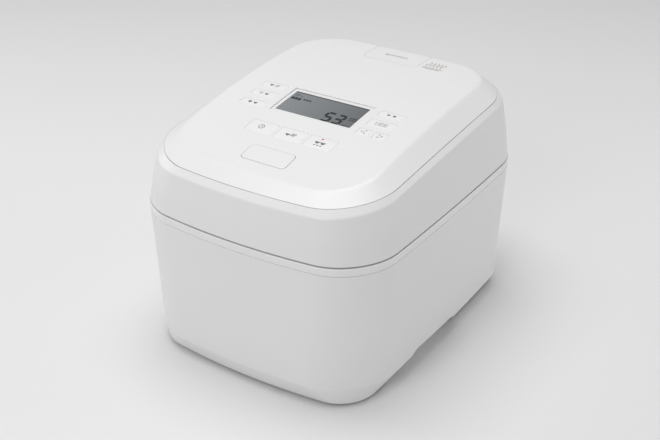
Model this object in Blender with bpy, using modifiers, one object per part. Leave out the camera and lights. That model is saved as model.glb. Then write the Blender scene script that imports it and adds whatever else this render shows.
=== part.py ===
"""Induction rice cooker with a hinged lid, as an assembly of separate parts.

Units are metres and +Z is up. The front of the cooker faces -Y. The origin is
the centre of the cooker's footprint, on the surface that it stands on.
"""
import math
from collections import namedtuple

import bmesh
import bpy
from mathutils import Matrix, Vector

MM = 0.001
GAP = 0.3 * MM                  # air between two touching parts
OBJECT_NAME = "rice_cooker"

# ---------------------------------------------------------------- sizes
# The outside is described by level sections. Each is a rectangle with round
# corners whose four sides bow outwards. Heights are above the table, and a
# section on the lid also slopes up to the rear and falls off in a crown.
Section = namedtuple("Section", "half_width half_depth corner bow_y bow_x height slope crown")

CROWN_REACH = 150 * MM          # distance from the middle at which a crown is stated


def section(half_width, half_depth, corner, bow_y, bow_x, height, slope=0.0, crown=0.0):
    """A section from sizes in millimetres. The slope is a ratio."""
    return Section(half_width * MM, half_depth * MM, corner * MM, bow_y * MM, bow_x * MM,
                   height * MM, slope, crown * MM)


BOTTOM_EDGE = section(119.7, 157.3, 30.0, 10.5, 3.8, 3.2)
CHAMFER_TOP = section(130.3, 164.5, 57.0, 9.6, 3.6, 20.7)
WALL_TOP = section(133.8, 166.5, 48.4, 13.7, 3.2, 143.3)
BAND_FOOT = section(133.9, 166.6, 48.4, 13.7, 3.2, 143.8)
BAND_TOP = section(134.0, 166.8, 48.4, 13.7, 3.2, 151.2)
LID_FOOT = section(134.0, 166.8, 48.4, 13.7, 3.2, 152.6)
LID_CREASE = section(126.5, 158.0, 50.0, 12.0, 2.8, 208.9, 0.070, 4.4)
LID_MIDDLE = section(130.9, 163.0, 49.2, 12.9, 3.0, 180.8, 0.035, 2.2)
PANEL_EDGE = section(123.2, 152.3, 53.0, 10.4, 2.3, 214.8, 0.0738, 4.4)
PLATEAU_EDGE = section(106.3, 135.0, 44.4, 3.2, 2.0, 230.1, 0.0995, 11.3)

SHELL = 2.4 * MM                # wall of the outer mouldings
CORNER_STEPS = 6                # facets in each round corner
SIDE_STEPS = 2                  # facets in each half of a side

HINGE_RADIUS = 7.0 * MM
HINGE_BEHIND = 7.7 * MM         # hinge axis behind the rearmost wall
HINGE_HEIGHT = 151.0 * MM
HINGE_PIN_RADIUS = 2.5 * MM

# The hinge stands out behind, so the body's middle is forward of the origin.
BODY_Y = -(HINGE_BEHIND + HINGE_RADIUS) / 2
HINGE_Y = BODY_Y + LID_FOOT.half_depth + HINGE_BEHIND

POT_Y = BODY_Y - 14 * MM        # the pot's axis
BOWL_MID = 61.5 * MM            # radius at which the rounded bottom starts
BOWL_WIDTH = 39.5 * MM          # the rounding's reach outwards
BOWL_DEPTH = 37.0 * MM          # the rounding's reach downwards
BOWL_TOP = 72.0 * MM            # height at which the side becomes straight
POT_CLEARANCE = 3.0 * MM
POT_WALL = 2.0 * MM
POT_FLANGE_RADIUS = 107.5 * MM
DECK_HEIGHT = 147.6 * MM
POT_OPENING = 103.3 * MM

KEY_GAP = 0.35 * MM
KEY_RISE = 0.35 * MM            # a key's top above the panel
KEY_DEPTH = 4.0 * MM
Key = namedtuple("Key", "name x y width depth")
KEYS = (
    Key("key_timer", -33.0, -74.0, 29.0, 18.0),
    Key("key_keep_warm", -0.5, -74.0, 29.0, 18.0),
    Key("key_cook", 32.0, -74.0, 29.0, 18.0),
    Key("key_left_rear", -67.0, -5.0, 27.0, 10.0),
    Key("key_left_middle", -67.0, -22.5, 27.0, 10.0),
    Key("key_left_front", -67.0, -41.0, 27.0, 10.0),
    Key("key_right_rear", 66.0, -6.0, 27.0, 10.0),
    Key("key_menu", 66.0, -24.0, 28.0, 12.0),
    Key("key_back", 57.5, -41.5, 13.5, 10.5),
    Key("key_forward", 75.0, -42.0, 13.5, 10.5),
)
OPEN_BUTTON = Key("open_button", 0.0, -109.8, 48.0, 21.0)
DISPLAY = Key("display_lens", 0.0, -21.5, 90.6, 45.0)

STEAM_HALF_WIDTH = 31.0 * MM
STEAM_FRONT = 99.5 * MM         # distances behind the body's middle
STEAM_REAR = 147.0 * MM
VALVE_Y = BODY_Y + 58 * MM
DUCT_TOP_Y = BODY_Y + 117 * MM

LATCH_PIVOT_Y = BODY_Y - 146 * MM
LATCH_PIVOT_Z = 178 * MM

FAN_CENTRE = (58 * MM, BODY_Y + 120 * MM)
REEL_CENTRE = (-62 * MM, 62 * MM)       # x and z of the cord reel's axis

# ---------------------------------------------------------------- materials
FINISHES = {
    "white_satin": ((0.80, 0.80, 0.80), 0.38, 0.0),
    "white_gloss": ((0.84, 0.84, 0.84), 0.16, 0.0),
    "grey_plastic": ((0.28, 0.28, 0.29), 0.55, 0.0),
    "black_plastic": ((0.03, 0.03, 0.03), 0.50, 0.0),
    "rubber": ((0.10, 0.10, 0.10), 0.80, 0.0),
    "silicone": ((0.62, 0.62, 0.60), 0.60, 0.0),
    "steel": ((0.62, 0.62, 0.62), 0.30, 1.0),
    "aluminium": ((0.78, 0.78, 0.79), 0.35, 1.0),
    "copper": ((0.72, 0.36, 0.22), 0.35, 1.0),
    "ferrite": ((0.06, 0.06, 0.065), 0.60, 0.0),
    "circuit_board": ((0.04, 0.22, 0.10), 0.45, 0.0),
    "pot_coating": ((0.05, 0.05, 0.05), 0.35, 0.2),
    "lens": ((0.22, 0.23, 0.25), 0.06, 0.0),
    "display_glass": ((0.22, 0.24, 0.25), 0.25, 0.0),
}


def finish(name):
    """The named finish as a material, made once."""
    found = bpy.data.materials.get(name)
    if found:
        return found
    colour, roughness, metallic = FINISHES[name]
    made = bpy.data.materials.new(name)
    made.use_nodes = True
    shader = made.node_tree.nodes["Principled BSDF"]
    shader.inputs["Base Color"].default_value = (*colour, 1.0)
    shader.inputs["Roughness"].default_value = roughness
    shader.inputs["Metallic"].default_value = metallic
    made.diffuse_color = (*colour, 1.0)
    return made


# ---------------------------------------------------------------- helpers
def clear_scene():
    for old in list(bpy.data.objects):
        bpy.data.objects.remove(old, do_unlink=True)


def collection(name):
    found = bpy.data.collections.get(name)
    if found is None:
        found = bpy.data.collections.new(name)
        bpy.context.scene.collection.children.link(found)
    return found


def place(obj, finish_name):
    """Put an object in the parts, or in the cutters when it has no finish."""
    if finish_name:
        collection(OBJECT_NAME).objects.link(obj)
        obj.data.materials.append(finish(finish_name))
    else:
        collection("cutters").objects.link(obj)
        obj.hide_render = True
        obj.display_type = 'WIRE'
    return obj


def object_from_bmesh(name, bm, finish_name=None):
    bmesh.ops.recalc_face_normals(bm, faces=bm.faces)
    mesh = bpy.data.meshes.new(name)
    bm.to_mesh(mesh)
    bm.free()
    return place(bpy.data.objects.new(name, mesh), finish_name)


def smooth(obj, degrees=32):
    obj.data.shade_smooth()
    obj.data.set_sharp_from_angle(angle=math.radians(degrees))
    return obj


def boolean(obj, cutter, operation='DIFFERENCE'):
    mod = obj.modifiers.new(operation.lower(), 'BOOLEAN')
    mod.operation = operation
    mod.solver = 'EXACT'
    mod.object = cutter
    return obj


def bevel(obj, width, segments=2):
    mod = obj.modifiers.new("bevel", 'BEVEL')
    mod.width = width
    mod.segments = segments
    mod.limit_method = 'ANGLE'
    return obj


def move(obj, x, y, z, tilt=0.0, turn=0.0):
    """Place an object. Tilt turns it about X and turn about Z."""
    obj.location = (x, y, z)
    obj.rotation_euler = (tilt, 0.0, turn)
    return obj


def box(name, size, finish_name=None):
    bm = bmesh.new()
    bmesh.ops.create_cube(bm, size=1.0, matrix=Matrix.Diagonal((*size, 1.0)))
    return object_from_bmesh(name, bm, finish_name)


def boxes(name, places, finish_name=None):
    """Several boxes in one object, each a size and a matrix."""
    bm = bmesh.new()
    for size, matrix in places:
        bmesh.ops.create_cube(bm, size=1.0, matrix=matrix @ Matrix.Diagonal((*size, 1.0)))
    return object_from_bmesh(name, bm, finish_name)


def cylinder(name, radius, length, finish_name=None, sides=24):
    """A cylinder along Z about its own middle."""
    bm = bmesh.new()
    bmesh.ops.create_cone(bm, cap_ends=True, segments=sides, radius1=radius, radius2=radius,
                          depth=length)
    return object_from_bmesh(name, bm, finish_name)


def turned(name, profile, finish_name=None, steps=36, closed=True):
    """A profile of (radius, height) turned about Z. An open one starts and ends on the axis."""
    bm = bmesh.new()
    verts = [bm.verts.new((radius, 0.0, height)) for radius, height in profile]
    pairs = list(zip(verts, verts[1:]))
    if closed:
        pairs.append((verts[-1], verts[0]))
    for pair in pairs:
        bm.edges.new(pair)
    mesh = bpy.data.meshes.new(name)
    bm.to_mesh(mesh)
    bm.free()
    obj = place(bpy.data.objects.new(name, mesh), finish_name)
    mod = obj.modifiers.new("screw", 'SCREW')
    mod.steps = steps
    mod.render_steps = steps
    mod.use_merge_vertices = True
    mod.merge_threshold = 0.00001
    mod.use_smooth_shade = True
    return obj


def wire(name, points, radius, finish_name):
    """A round wire through points, with closed ends."""
    data = bpy.data.curves.new(name, 'CURVE')
    data.dimensions = '3D'
    spline = data.splines.new('POLY')
    spline.points.add(len(points) - 1)
    for point, target in zip(points, spline.points):
        target.co = (*point, 1.0)
    data.bevel_depth = radius
    data.bevel_resolution = 2
    data.use_fill_caps = True
    return place(bpy.data.objects.new(name, data), finish_name)


def extruded(name, outline, width, finish_name=None):
    """A flat outline of (y, z) points made thick along X, about the middle x = 0."""
    data = bpy.data.curves.new(name, 'CURVE')
    data.dimensions = '2D'
    data.fill_mode = 'BOTH'
    data.extrude = width / 2
    spline = data.splines.new('POLY')
    spline.points.add(len(outline) - 1)
    for (y, z), target in zip(outline, spline.points):
        target.co = (y, z, 0.0, 1.0)
    spline.use_cyclic_u = True
    curve = bpy.data.objects.new(name + "_outline", data)
    bpy.context.scene.collection.objects.link(curve)
    mesh = bpy.data.meshes.new_from_object(curve.evaluated_get(bpy.context.evaluated_depsgraph_get()))
    bm = bmesh.new()
    bm.from_mesh(mesh)
    bmesh.ops.remove_doubles(bm, verts=bm.verts, dist=0.00001)
    # The curve lies in its own XY plane: its X becomes Y and its Y becomes Z.
    stand_up = Matrix(((0, 0, 1, 0), (1, 0, 0, 0), (0, 1, 0, 0), (0, 0, 0, 1)))
    bmesh.ops.transform(bm, matrix=stand_up, verts=bm.verts)
    bpy.data.objects.remove(curve, do_unlink=True)
    return object_from_bmesh(name, bm, finish_name)


def arc(centre, radius, start, stop, steps):
    """Points on an arc in a plane, from one angle to another in degrees."""
    angles = [math.radians(start + (stop - start) * i / steps) for i in range(steps + 1)]
    return [(centre[0] + radius * math.cos(a), centre[1] + radius * math.sin(a)) for a in angles]


# ---------------------------------------------------------------- sections and lofts
def section_height(sec, y):
    """The height of a section at a distance y behind the body's middle."""
    return sec.height + sec.slope * y - sec.crown * (y / CROWN_REACH) ** 2


def ring(sec, inset=0.0, drop=0.0, scale=1.0):
    """The points round a section, anticlockwise from above, from the +X side."""
    half_x = sec.half_width - sec.bow_x - inset
    half_y = sec.half_depth - sec.bow_y - inset
    corner = max(sec.corner - inset, 4 * MM)
    quarter = [(half_x, (half_y - corner) * i / SIDE_STEPS) for i in range(SIDE_STEPS)]
    quarter += arc((half_x - corner, half_y - corner), corner, 0, 90, CORNER_STEPS)
    quarter += [((half_x - corner) * (1 - i / SIDE_STEPS), half_y) for i in range(1, SIDE_STEPS + 1)]
    loop = quarter[:-1]
    loop += [(-x, y) for x, y in reversed(quarter)][:-1]
    loop += [(-x, -y) for x, y in quarter][:-1]
    loop += [(x, -y) for x, y in reversed(quarter)][:-1]
    points = []
    for x, y in loop:
        bowed_x = x + sec.bow_x * (1 - (y / half_y) ** 2) * x / half_x
        bowed_y = y + sec.bow_y * (1 - (x / half_x) ** 2) * y / half_y
        bowed_x *= scale
        bowed_y *= scale
        points.append(Vector((bowed_x, bowed_y + BODY_Y, section_height(sec, bowed_y) - drop)))
    return points


def round_ring(radius, height, like):
    """Points on a circle about the pot's axis, in the directions of another ring's points."""
    centre = Vector((0.0, POT_Y))
    points = []
    for point in like:
        spoke = (point.xy - centre).normalized() * radius
        points.append(Vector((spoke.x, POT_Y + spoke.y, height)))
    return points


def between(low, high, share):
    """A section part of the way from one to another."""
    return Section(*(a + (b - a) * share for a, b in zip(low, high)))


def loft(name, rings, finish_name=None, ends='CAPS'):
    """A skin over rings of equal length. Its ends are CAPS, POLES at the middle, or JOINED."""
    bm = bmesh.new()
    rows = [[bm.verts.new(point) for point in points] for points in rings]
    count = len(rows[0])
    pairs = list(zip(rows, rows[1:]))
    if ends == 'JOINED':
        pairs.append((rows[-1], rows[0]))
    for low, high in pairs:
        for i in range(count):
            j = (i + 1) % count
            bm.faces.new((low[i], low[j], high[j], high[i]))
    if ends == 'CAPS':
        bm.faces.new(rows[0])
        bm.faces.new(rows[-1])
    if ends == 'POLES':
        for row in (rows[0], rows[-1]):
            lift = sum((vert.co for vert in row), Vector()) / count
            pole = bm.verts.new(lift)
            for i in range(count):
                bm.faces.new((row[i], row[(i + 1) % count], pole))
    return object_from_bmesh(name, bm, finish_name)


def plateau_slope(y):
    """The plateau's rise per unit of depth, y behind the body's middle."""
    return PLATEAU_EDGE.slope - 2 * PLATEAU_EDGE.crown * y / CROWN_REACH ** 2


def on_plateau(key, depth):
    """The matrix of a frame on the plateau at a key, sunk by depth along the surface's normal."""
    y = key.y * MM
    tilt = math.atan(plateau_slope(y))
    surface = Matrix.Translation((key.x * MM, BODY_Y + y, section_height(PLATEAU_EDGE, y)))
    return surface @ Matrix.Rotation(tilt, 4, 'X') @ Matrix.Translation((0, 0, -depth))


# ---------------------------------------------------------------- base: outer casing
RECESS_PROFILE = ((-92, -2), (-76, 22), (-68, 24), (14, 21.6), (21, 19.5), (36, -2))
RECESS_WALL = 2.2 * MM
RECESS_INNER_X = 105.5 * MM


def recess_prism(name, grow, inner_x):
    """The finger recess in one side of the base, made larger all round by grow."""
    outline = []
    for y, z in RECESS_PROFILE:
        outward = math.copysign(grow, y + 30)
        outline.append((BODY_Y + y * MM + outward, z * MM + grow))
    length = 150 * MM - inner_x
    prism = extruded(name, outline, length)
    prism.data.transform(Matrix.Translation((inner_x + length / 2, 0, 0)))
    mirror = prism.modifiers.new("mirror", 'MIRROR')
    mirror.merge_threshold = 0.0001
    return prism


def base_volume():
    """The solid that the base's outer wall encloses."""
    return loft("base_volume", [ring(BOTTOM_EDGE, drop=0.4 * MM), ring(CHAMFER_TOP), ring(WALL_TOP)])


def make_body_shell():
    rings = [ring(BOTTOM_EDGE), ring(CHAMFER_TOP)]
    rings += [ring(between(CHAMFER_TOP, WALL_TOP, share)) for share in (0.35, 0.7)]
    rings.append(ring(WALL_TOP))
    shell = loft("body_shell", rings, "white_satin", ends='OPEN')
    wall = shell.modifiers.new("wall", 'SOLIDIFY')
    wall.thickness = SHELL
    wall.offset = -1
    wall.use_even_offset = True
    liner = recess_prism("recess_liner", RECESS_WALL, RECESS_INNER_X - RECESS_WALL)
    boolean(liner, base_volume(), 'INTERSECT')
    boolean(shell, liner, 'UNION')
    boolean(shell, recess_prism("recess_space", 0.0, RECESS_INNER_X))
    outlet = box("cord_outlet_hole", (26 * MM, 20 * MM, 16 * MM))
    boolean(shell, move(outlet, *outlet_place(0.0)))
    return smooth(shell)


def make_shoulder_ring():
    """The deck round the pot's opening, with the band that shows under the lid."""
    foot = ring(BAND_FOOT)
    top = ring(BAND_TOP)
    rings = [
        foot, top,
        ring(BAND_TOP, inset=5 * MM),
        ring(BAND_TOP, inset=6.5 * MM, drop=BAND_TOP.height - DECK_HEIGHT),
        round_ring(POT_OPENING + 8 * MM, DECK_HEIGHT, top),
        round_ring(POT_OPENING, DECK_HEIGHT, top),
        round_ring(POT_OPENING, DECK_HEIGHT - 3.6 * MM, top),
        round_ring(POT_OPENING + 2 * MM, DECK_HEIGHT - 3.6 * MM, top),
        round_ring(POT_OPENING + 2.3 * MM, DECK_HEIGHT - 2.3 * MM, top),
        round_ring(POT_OPENING + 8 * MM, DECK_HEIGHT - 2.3 * MM, top),
        ring(BAND_FOOT, inset=8 * MM, drop=BAND_FOOT.height - DECK_HEIGHT + 2.3 * MM),
        ring(BAND_FOOT, inset=2.4 * MM, drop=-2.2 * MM),
        ring(BAND_FOOT, inset=2.4 * MM),
    ]
    deck = loft("shoulder_ring", rings, "white_gloss", ends='JOINED')
    slot = box("latch_slot", (20 * MM, 13.0 * MM, 20 * MM))
    boolean(deck, move(slot, 0, LATCH_PIVOT_Y - 2.0 * MM, DECK_HEIGHT))
    return smooth(deck)


def make_bottom_cover():
    low = 3.4 * MM
    high = 5.6 * MM
    cover = loft("bottom_cover", [ring(BOTTOM_EDGE, inset=3.4 * MM, drop=BOTTOM_EDGE.height - low),
                                  ring(BOTTOM_EDGE, inset=3.4 * MM, drop=BOTTOM_EDGE.height - high)],
                 "grey_plastic")
    notch = recess_prism("recess_notch", RECESS_WALL + 2 * GAP, RECESS_INNER_X - RECESS_WALL - GAP)
    boolean(cover, notch)
    slots = []
    for i in range(6):
        slots.append(((28 * MM, 3.2 * MM, 12 * MM),
                      Matrix.Translation((FAN_CENTRE[0], FAN_CENTRE[1] + (i - 2.5) * 6.5 * MM, low))))
    for i in range(7):
        slots.append(((40 * MM, 3.2 * MM, 12 * MM),
                      Matrix.Translation((0, BODY_Y + (-135 + i * 6.5) * MM, low))))
    boolean(cover, boxes("vent_slots", slots))
    return cover


def make_feet():
    profile = ((0, 3.1 * MM), (9.5 * MM, 3.1 * MM), (9.5 * MM, 1.0 * MM), (8.5 * MM, 0), (0, 0))
    for depth_name, y in (("front", -118), ("rear", 118)):
        for side_name, x in (("left", -84), ("right", 84)):
            foot = turned(f"foot_{depth_name}_{side_name}", profile, "rubber", steps=20, closed=False)
            move(foot, x * MM, BODY_Y + y * MM, 0)


def outlet_place(out):
    """Where the cord outlet sits in the rear wall, moved out by a distance, and its turn."""
    x = -62 * MM
    height = 34 * MM
    share = (height - CHAMFER_TOP.height) / (WALL_TOP.height - CHAMFER_TOP.height)
    wall = between(CHAMFER_TOP, WALL_TOP, share)
    half_x = wall.half_width - wall.bow_x
    y = wall.half_depth - wall.bow_y * (x / half_x) ** 2
    turn = math.atan(-2 * wall.bow_y * x / half_x ** 2)
    return (x - out * math.sin(turn), BODY_Y + y + out * math.cos(turn), height, 0.0, turn)


def make_cord_outlet():
    """The bezel that the cord leaves by: a flange outside the wall and a sleeve through it."""
    flange = box("cord_outlet", (34 * MM, 2.0 * MM, 24 * MM), "grey_plastic")
    sleeve = box("outlet_sleeve", (25.2 * MM, 14 * MM, 15.2 * MM))
    boolean(flange, move(sleeve, 0, -6.5 * MM, 0), 'UNION')
    passage = box("outlet_passage", (15 * MM, 40 * MM, 8 * MM))
    boolean(flange, passage)
    for helper in (sleeve, passage):
        helper.parent = flange
    return move(flange, *outlet_place(1.5 * MM))


# ---------------------------------------------------------------- base: pot and heating
def bowl(offset, start=0, stop=90, steps=5):
    """Points (radius, height) on the rounded bottom, moved out from the chamber's inside."""
    points = []
    for i in range(steps + 1):
        angle = math.radians(start + (stop - start) * i / steps)
        points.append((BOWL_MID + (BOWL_WIDTH + offset) * math.sin(angle),
                       BOWL_TOP - (BOWL_DEPTH + offset) * math.cos(angle)))
    return points


def on_pot_axis(obj):
    return move(obj, 0, POT_Y, 0)


def make_pot_chamber():
    wall = 2 * MM
    hole = 16 * MM
    top = DECK_HEIGHT - 3.9 * MM
    flange = 112 * MM
    inside = [(hole, BOWL_TOP - BOWL_DEPTH)] + bowl(0)
    inside.append((BOWL_MID + BOWL_WIDTH, top))
    outside = [(flange, top), (flange, top - wall), (BOWL_MID + BOWL_WIDTH + wall, top - wall)]
    outside += reversed(bowl(wall))
    outside.append((hole, BOWL_TOP - BOWL_DEPTH - wall))
    return on_pot_axis(turned("pot_chamber", inside + outside, "grey_plastic"))


def make_inner_pot():
    inside = [(0, BOWL_TOP - BOWL_DEPTH + POT_CLEARANCE + POT_WALL)]
    inside += bowl(-POT_CLEARANCE - POT_WALL)
    rim_low = DECK_HEIGHT + GAP
    rim_high = rim_low + 2.1 * MM
    pot_radius = BOWL_MID + BOWL_WIDTH - POT_CLEARANCE
    inside.append((pot_radius - POT_WALL, rim_high))
    outside = [(POT_FLANGE_RADIUS, rim_high), (POT_FLANGE_RADIUS, rim_low), (pot_radius, rim_low)]
    outside += reversed(bowl(-POT_CLEARANCE))
    outside.append((0, BOWL_TOP - BOWL_DEPTH + POT_CLEARANCE))
    return on_pot_axis(turned("inner_pot", inside + outside, "pot_coating", closed=False))


def make_coil_carrier():
    hole = 20 * MM
    inner = 7.5 * MM
    outer = 9.5 * MM
    profile = [(hole, BOWL_TOP - BOWL_DEPTH - inner)] + bowl(inner, 0, 64, 4)
    profile += reversed(bowl(outer, 0, 64, 4))
    profile.append((hole, BOWL_TOP - BOWL_DEPTH - outer))
    return on_pot_axis(turned("coil_carrier", profile, "black_plastic", steps=30))


def make_induction_coils():
    """Two flat windings of stranded wire, each with a ridge for every turn."""
    top = BOWL_TOP - BOWL_DEPTH - 2.4 * MM
    base = BOWL_TOP - BOWL_DEPTH - 6.4 * MM
    start = 26 * MM
    pitch = 7 * MM
    turns = 4
    ridges = []
    for i in range(turns):
        ridges.append((start + i * pitch, base + 1.2 * MM))
        ridges.append((start + (i + 0.5) * pitch, base))
    ridges.append((start + turns * pitch, base + 1.2 * MM))
    profile = [(start, top), (start + turns * pitch, top)] + list(reversed(ridges))
    on_pot_axis(turned("induction_coil_inner", profile, "copper", steps=24))
    outer = bowl(2.4 * MM, 22, 56, 4) + list(reversed(bowl(6.4 * MM, 22, 56, 4)))
    on_pot_axis(turned("induction_coil_outer", outer, "copper"))


def make_ferrite_bars():
    for i, side in enumerate(("right", "rear", "left", "front")):
        bar = box(f"ferrite_bar_{side}", (48 * MM, 14 * MM, 5 * MM), "ferrite")
        angle = math.radians(90 * i)
        reach = 54 * MM
        move(bar, reach * math.cos(angle), POT_Y + reach * math.sin(angle), 22.4 * MM, turn=angle)


def make_temperature_sensor():
    seat = [(0, 14 * MM), (11 * MM, 14 * MM), (11 * MM, 25.6 * MM), (13 * MM, 25.6 * MM),
            (13 * MM, 12 * MM), (0, 12 * MM)]
    on_pot_axis(turned("sensor_seat", seat, "grey_plastic", steps=24, closed=False))
    top = BOWL_TOP - BOWL_DEPTH + POT_CLEARANCE - GAP
    plunger = [(0, top), (11.2 * MM, top), (12 * MM, top - 0.8 * MM), (12 * MM, 30 * MM),
               (10.4 * MM, 30 * MM), (10.4 * MM, top - 2.2 * MM), (3 * MM, top - 2.2 * MM),
               (3 * MM, 17 * MM), (0, 17 * MM)]
    on_pot_axis(turned("sensor_plunger", plunger, "aluminium", steps=24, closed=False))
    low = 15.2 * MM
    high = top - 3.2 * MM
    turns = 4
    per_turn = 8
    points = []
    for i in range(turns * per_turn + 1):
        angle = 2 * math.pi * i / per_turn
        height = low + (high - low) * i / (turns * per_turn)
        points.append((6.5 * MM * math.cos(angle), 6.5 * MM * math.sin(angle), height))
    on_pot_axis(wire("sensor_spring", points, 0.6 * MM, "steel"))


def make_side_heater():
    inner = BOWL_MID + BOWL_WIDTH + 2 * MM + GAP
    outer = inner + 1.4 * MM
    profile = ((inner, 112 * MM), (outer, 112 * MM), (outer, 88 * MM), (inner, 88 * MM))
    on_pot_axis(turned("side_heater", profile, "aluminium"))


# ---------------------------------------------------------------- base: electrics
def make_inverter_board():
    """The power board in front of the pot, with a capacitor, a relay and a choke on it."""
    board_y = BODY_Y - 145 * MM
    board = box("inverter_board", (150 * MM, 1.6 * MM, 88 * MM), "circuit_board")
    parts = boxes("board_parts", (
        ((22 * MM, 16 * MM, 16 * MM), Matrix.Translation((-56 * MM, 8.2 * MM, 24 * MM))),
        ((28 * MM, 14 * MM, 20 * MM), Matrix.Translation((-52 * MM, 7.2 * MM, -16 * MM))),
        ((20 * MM, 20 * MM, 26 * MM), Matrix.Translation((56 * MM, 10.2 * MM, -14 * MM))),
    ))
    parts.parent = board
    boolean(board, parts, 'UNION')
    return move(board, 0, board_y, 68 * MM)


def make_heat_sink():
    """A comb of upright fins on the inverter board's inner side."""
    fins = 7
    pitch = 9 * MM
    thick = 1.8 * MM
    root = 3 * MM
    reach = 17 * MM
    outline = [(0, 0)]
    for i in range(fins):
        left = i * pitch
        outline += [(left, reach), (left + thick, reach), (left + thick, root)]
        if i < fins - 1:
            outline.append((left + pitch, root))
    outline[-1] = ((fins - 1) * pitch + thick, 0)
    comb = extruded("heat_sink", outline, 46 * MM, "aluminium")
    # The comb's outline lies in YZ. It is laid so that the fins point to the rear.
    width = (fins - 1) * pitch + thick
    comb.matrix_world = Matrix.Translation((0, BODY_Y - 143.9 * MM, 66 * MM)) @ Matrix((
        (0, 1, 0, -width / 2), (0, 0, 1, 0), (1, 0, 0, 0), (0, 0, 0, 1)))
    return comb


def make_fan():
    """A small axial fan over the rear vents, with its shaft upright."""
    centre_z = 15 * MM
    housing = box("fan_housing", (50 * MM, 50 * MM, 15 * MM), "black_plastic")
    duct = cylinder("fan_duct", 23.5 * MM, 40 * MM, sides=32)
    boolean(housing, duct)
    strut = boxes("fan_struts", (
        ((49 * MM, 4 * MM, 2 * MM), Matrix.Translation((0, 0, -6.5 * MM))),
        ((4 * MM, 48 * MM, 2.2 * MM), Matrix.Translation((0, 0, -6.5 * MM))),
    ))
    boolean(housing, strut, 'UNION')
    for helper in (duct, strut):
        helper.parent = housing
    move(housing, *FAN_CENTRE, centre_z)
    rotor = cylinder("fan_rotor", 9.5 * MM, 10 * MM, "black_plastic", sides=20)
    count = 7
    blades = []
    for i in range(count):
        spin = Matrix.Rotation(2 * math.pi * i / count, 4, 'Z')
        pitch = Matrix.Rotation(math.radians(38), 4, 'X')
        blades.append(((15 * MM, 12 * MM, 1.2 * MM),
                       spin @ Matrix.Translation((15 * MM, 0, 0)) @ pitch))
    vanes = boxes("fan_vanes", blades)
    vanes.parent = rotor
    boolean(rotor, vanes, 'UNION')
    return move(rotor, *FAN_CENTRE, centre_z + 1 * MM)


def make_cord_reel():
    """The spring reel for the mains cord, its axis front to back, in an open cup."""
    cup = [(0, 27 * MM), (39 * MM, 27 * MM), (39 * MM, 0), (37.4 * MM, 0), (37.4 * MM, 25 * MM),
           (4 * MM, 25 * MM), (4 * MM, 1 * MM), (0, 1 * MM)]
    housing = turned("reel_housing", list(cup), "grey_plastic", steps=24, closed=False)
    drum = [(4.3 * MM, 23 * MM), (36 * MM, 23 * MM), (36 * MM, 21.4 * MM), (16 * MM, 21.4 * MM),
            (16 * MM, 4.6 * MM), (36 * MM, 4.6 * MM), (36 * MM, 3 * MM), (4.3 * MM, 3 * MM)]
    spool = turned("reel_drum", drum, "black_plastic", steps=24)
    for obj in (housing, spool):
        move(obj, REEL_CENTRE[0], BODY_Y + 112 * MM, REEL_CENTRE[1], tilt=math.radians(-90))


# ---------------------------------------------------------------- hinge
def barrel(name, low_x, high_x, finish_name=None, radius=HINGE_RADIUS, sides=24):
    """A cylinder on the hinge's axis between two places on X."""
    rod = cylinder(name, radius, high_x - low_x, finish_name, sides)
    rod.data.transform(Matrix.Rotation(math.radians(90), 4, 'Y'))
    return move(rod, (low_x + high_x) / 2, HINGE_Y, HINGE_HEIGHT)


def grown_volume(name, sections, grow):
    """The solid inside a stack of sections, grown to leave air round it."""
    rings = [ring(sections[0], inset=-grow, drop=6 * MM)]
    rings += [ring(sec, inset=-grow) for sec in sections]
    rings.append(ring(sections[-1], inset=-grow, drop=-6 * MM))
    return loft(name, rings)


def hinge_leaf(name, upward, low_x, high_x):
    """A leaf that reaches from the hinge's axis to the wall, above or below the axis."""
    side = 1 if upward else -1
    axis = Vector((HINGE_Y, HINGE_HEIGHT))
    wall_y = BODY_Y + BAND_TOP.half_depth - 4 * MM
    rear = axis.x + HINGE_RADIUS - 0.6 * MM
    profile = [(wall_y, axis.y + side * 1.5 * MM), (rear, axis.y + side * 1.5 * MM),
               (rear - 1.5 * MM, axis.y + side * 9 * MM), (wall_y + 4 * MM, axis.y + side * 30 * MM),
               (wall_y, axis.y + side * 30 * MM)]
    leaf = extruded(name, profile, high_x - low_x)
    leaf.data.transform(Matrix.Translation(((low_x + high_x) / 2, 0, 0)))
    return leaf


KNUCKLE_INNER = 38 * MM
KNUCKLE_OUTER = 58 * MM
ARM_HALF = 37.5 * MM
SPRING_ROOM = 7.5 * MM


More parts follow.
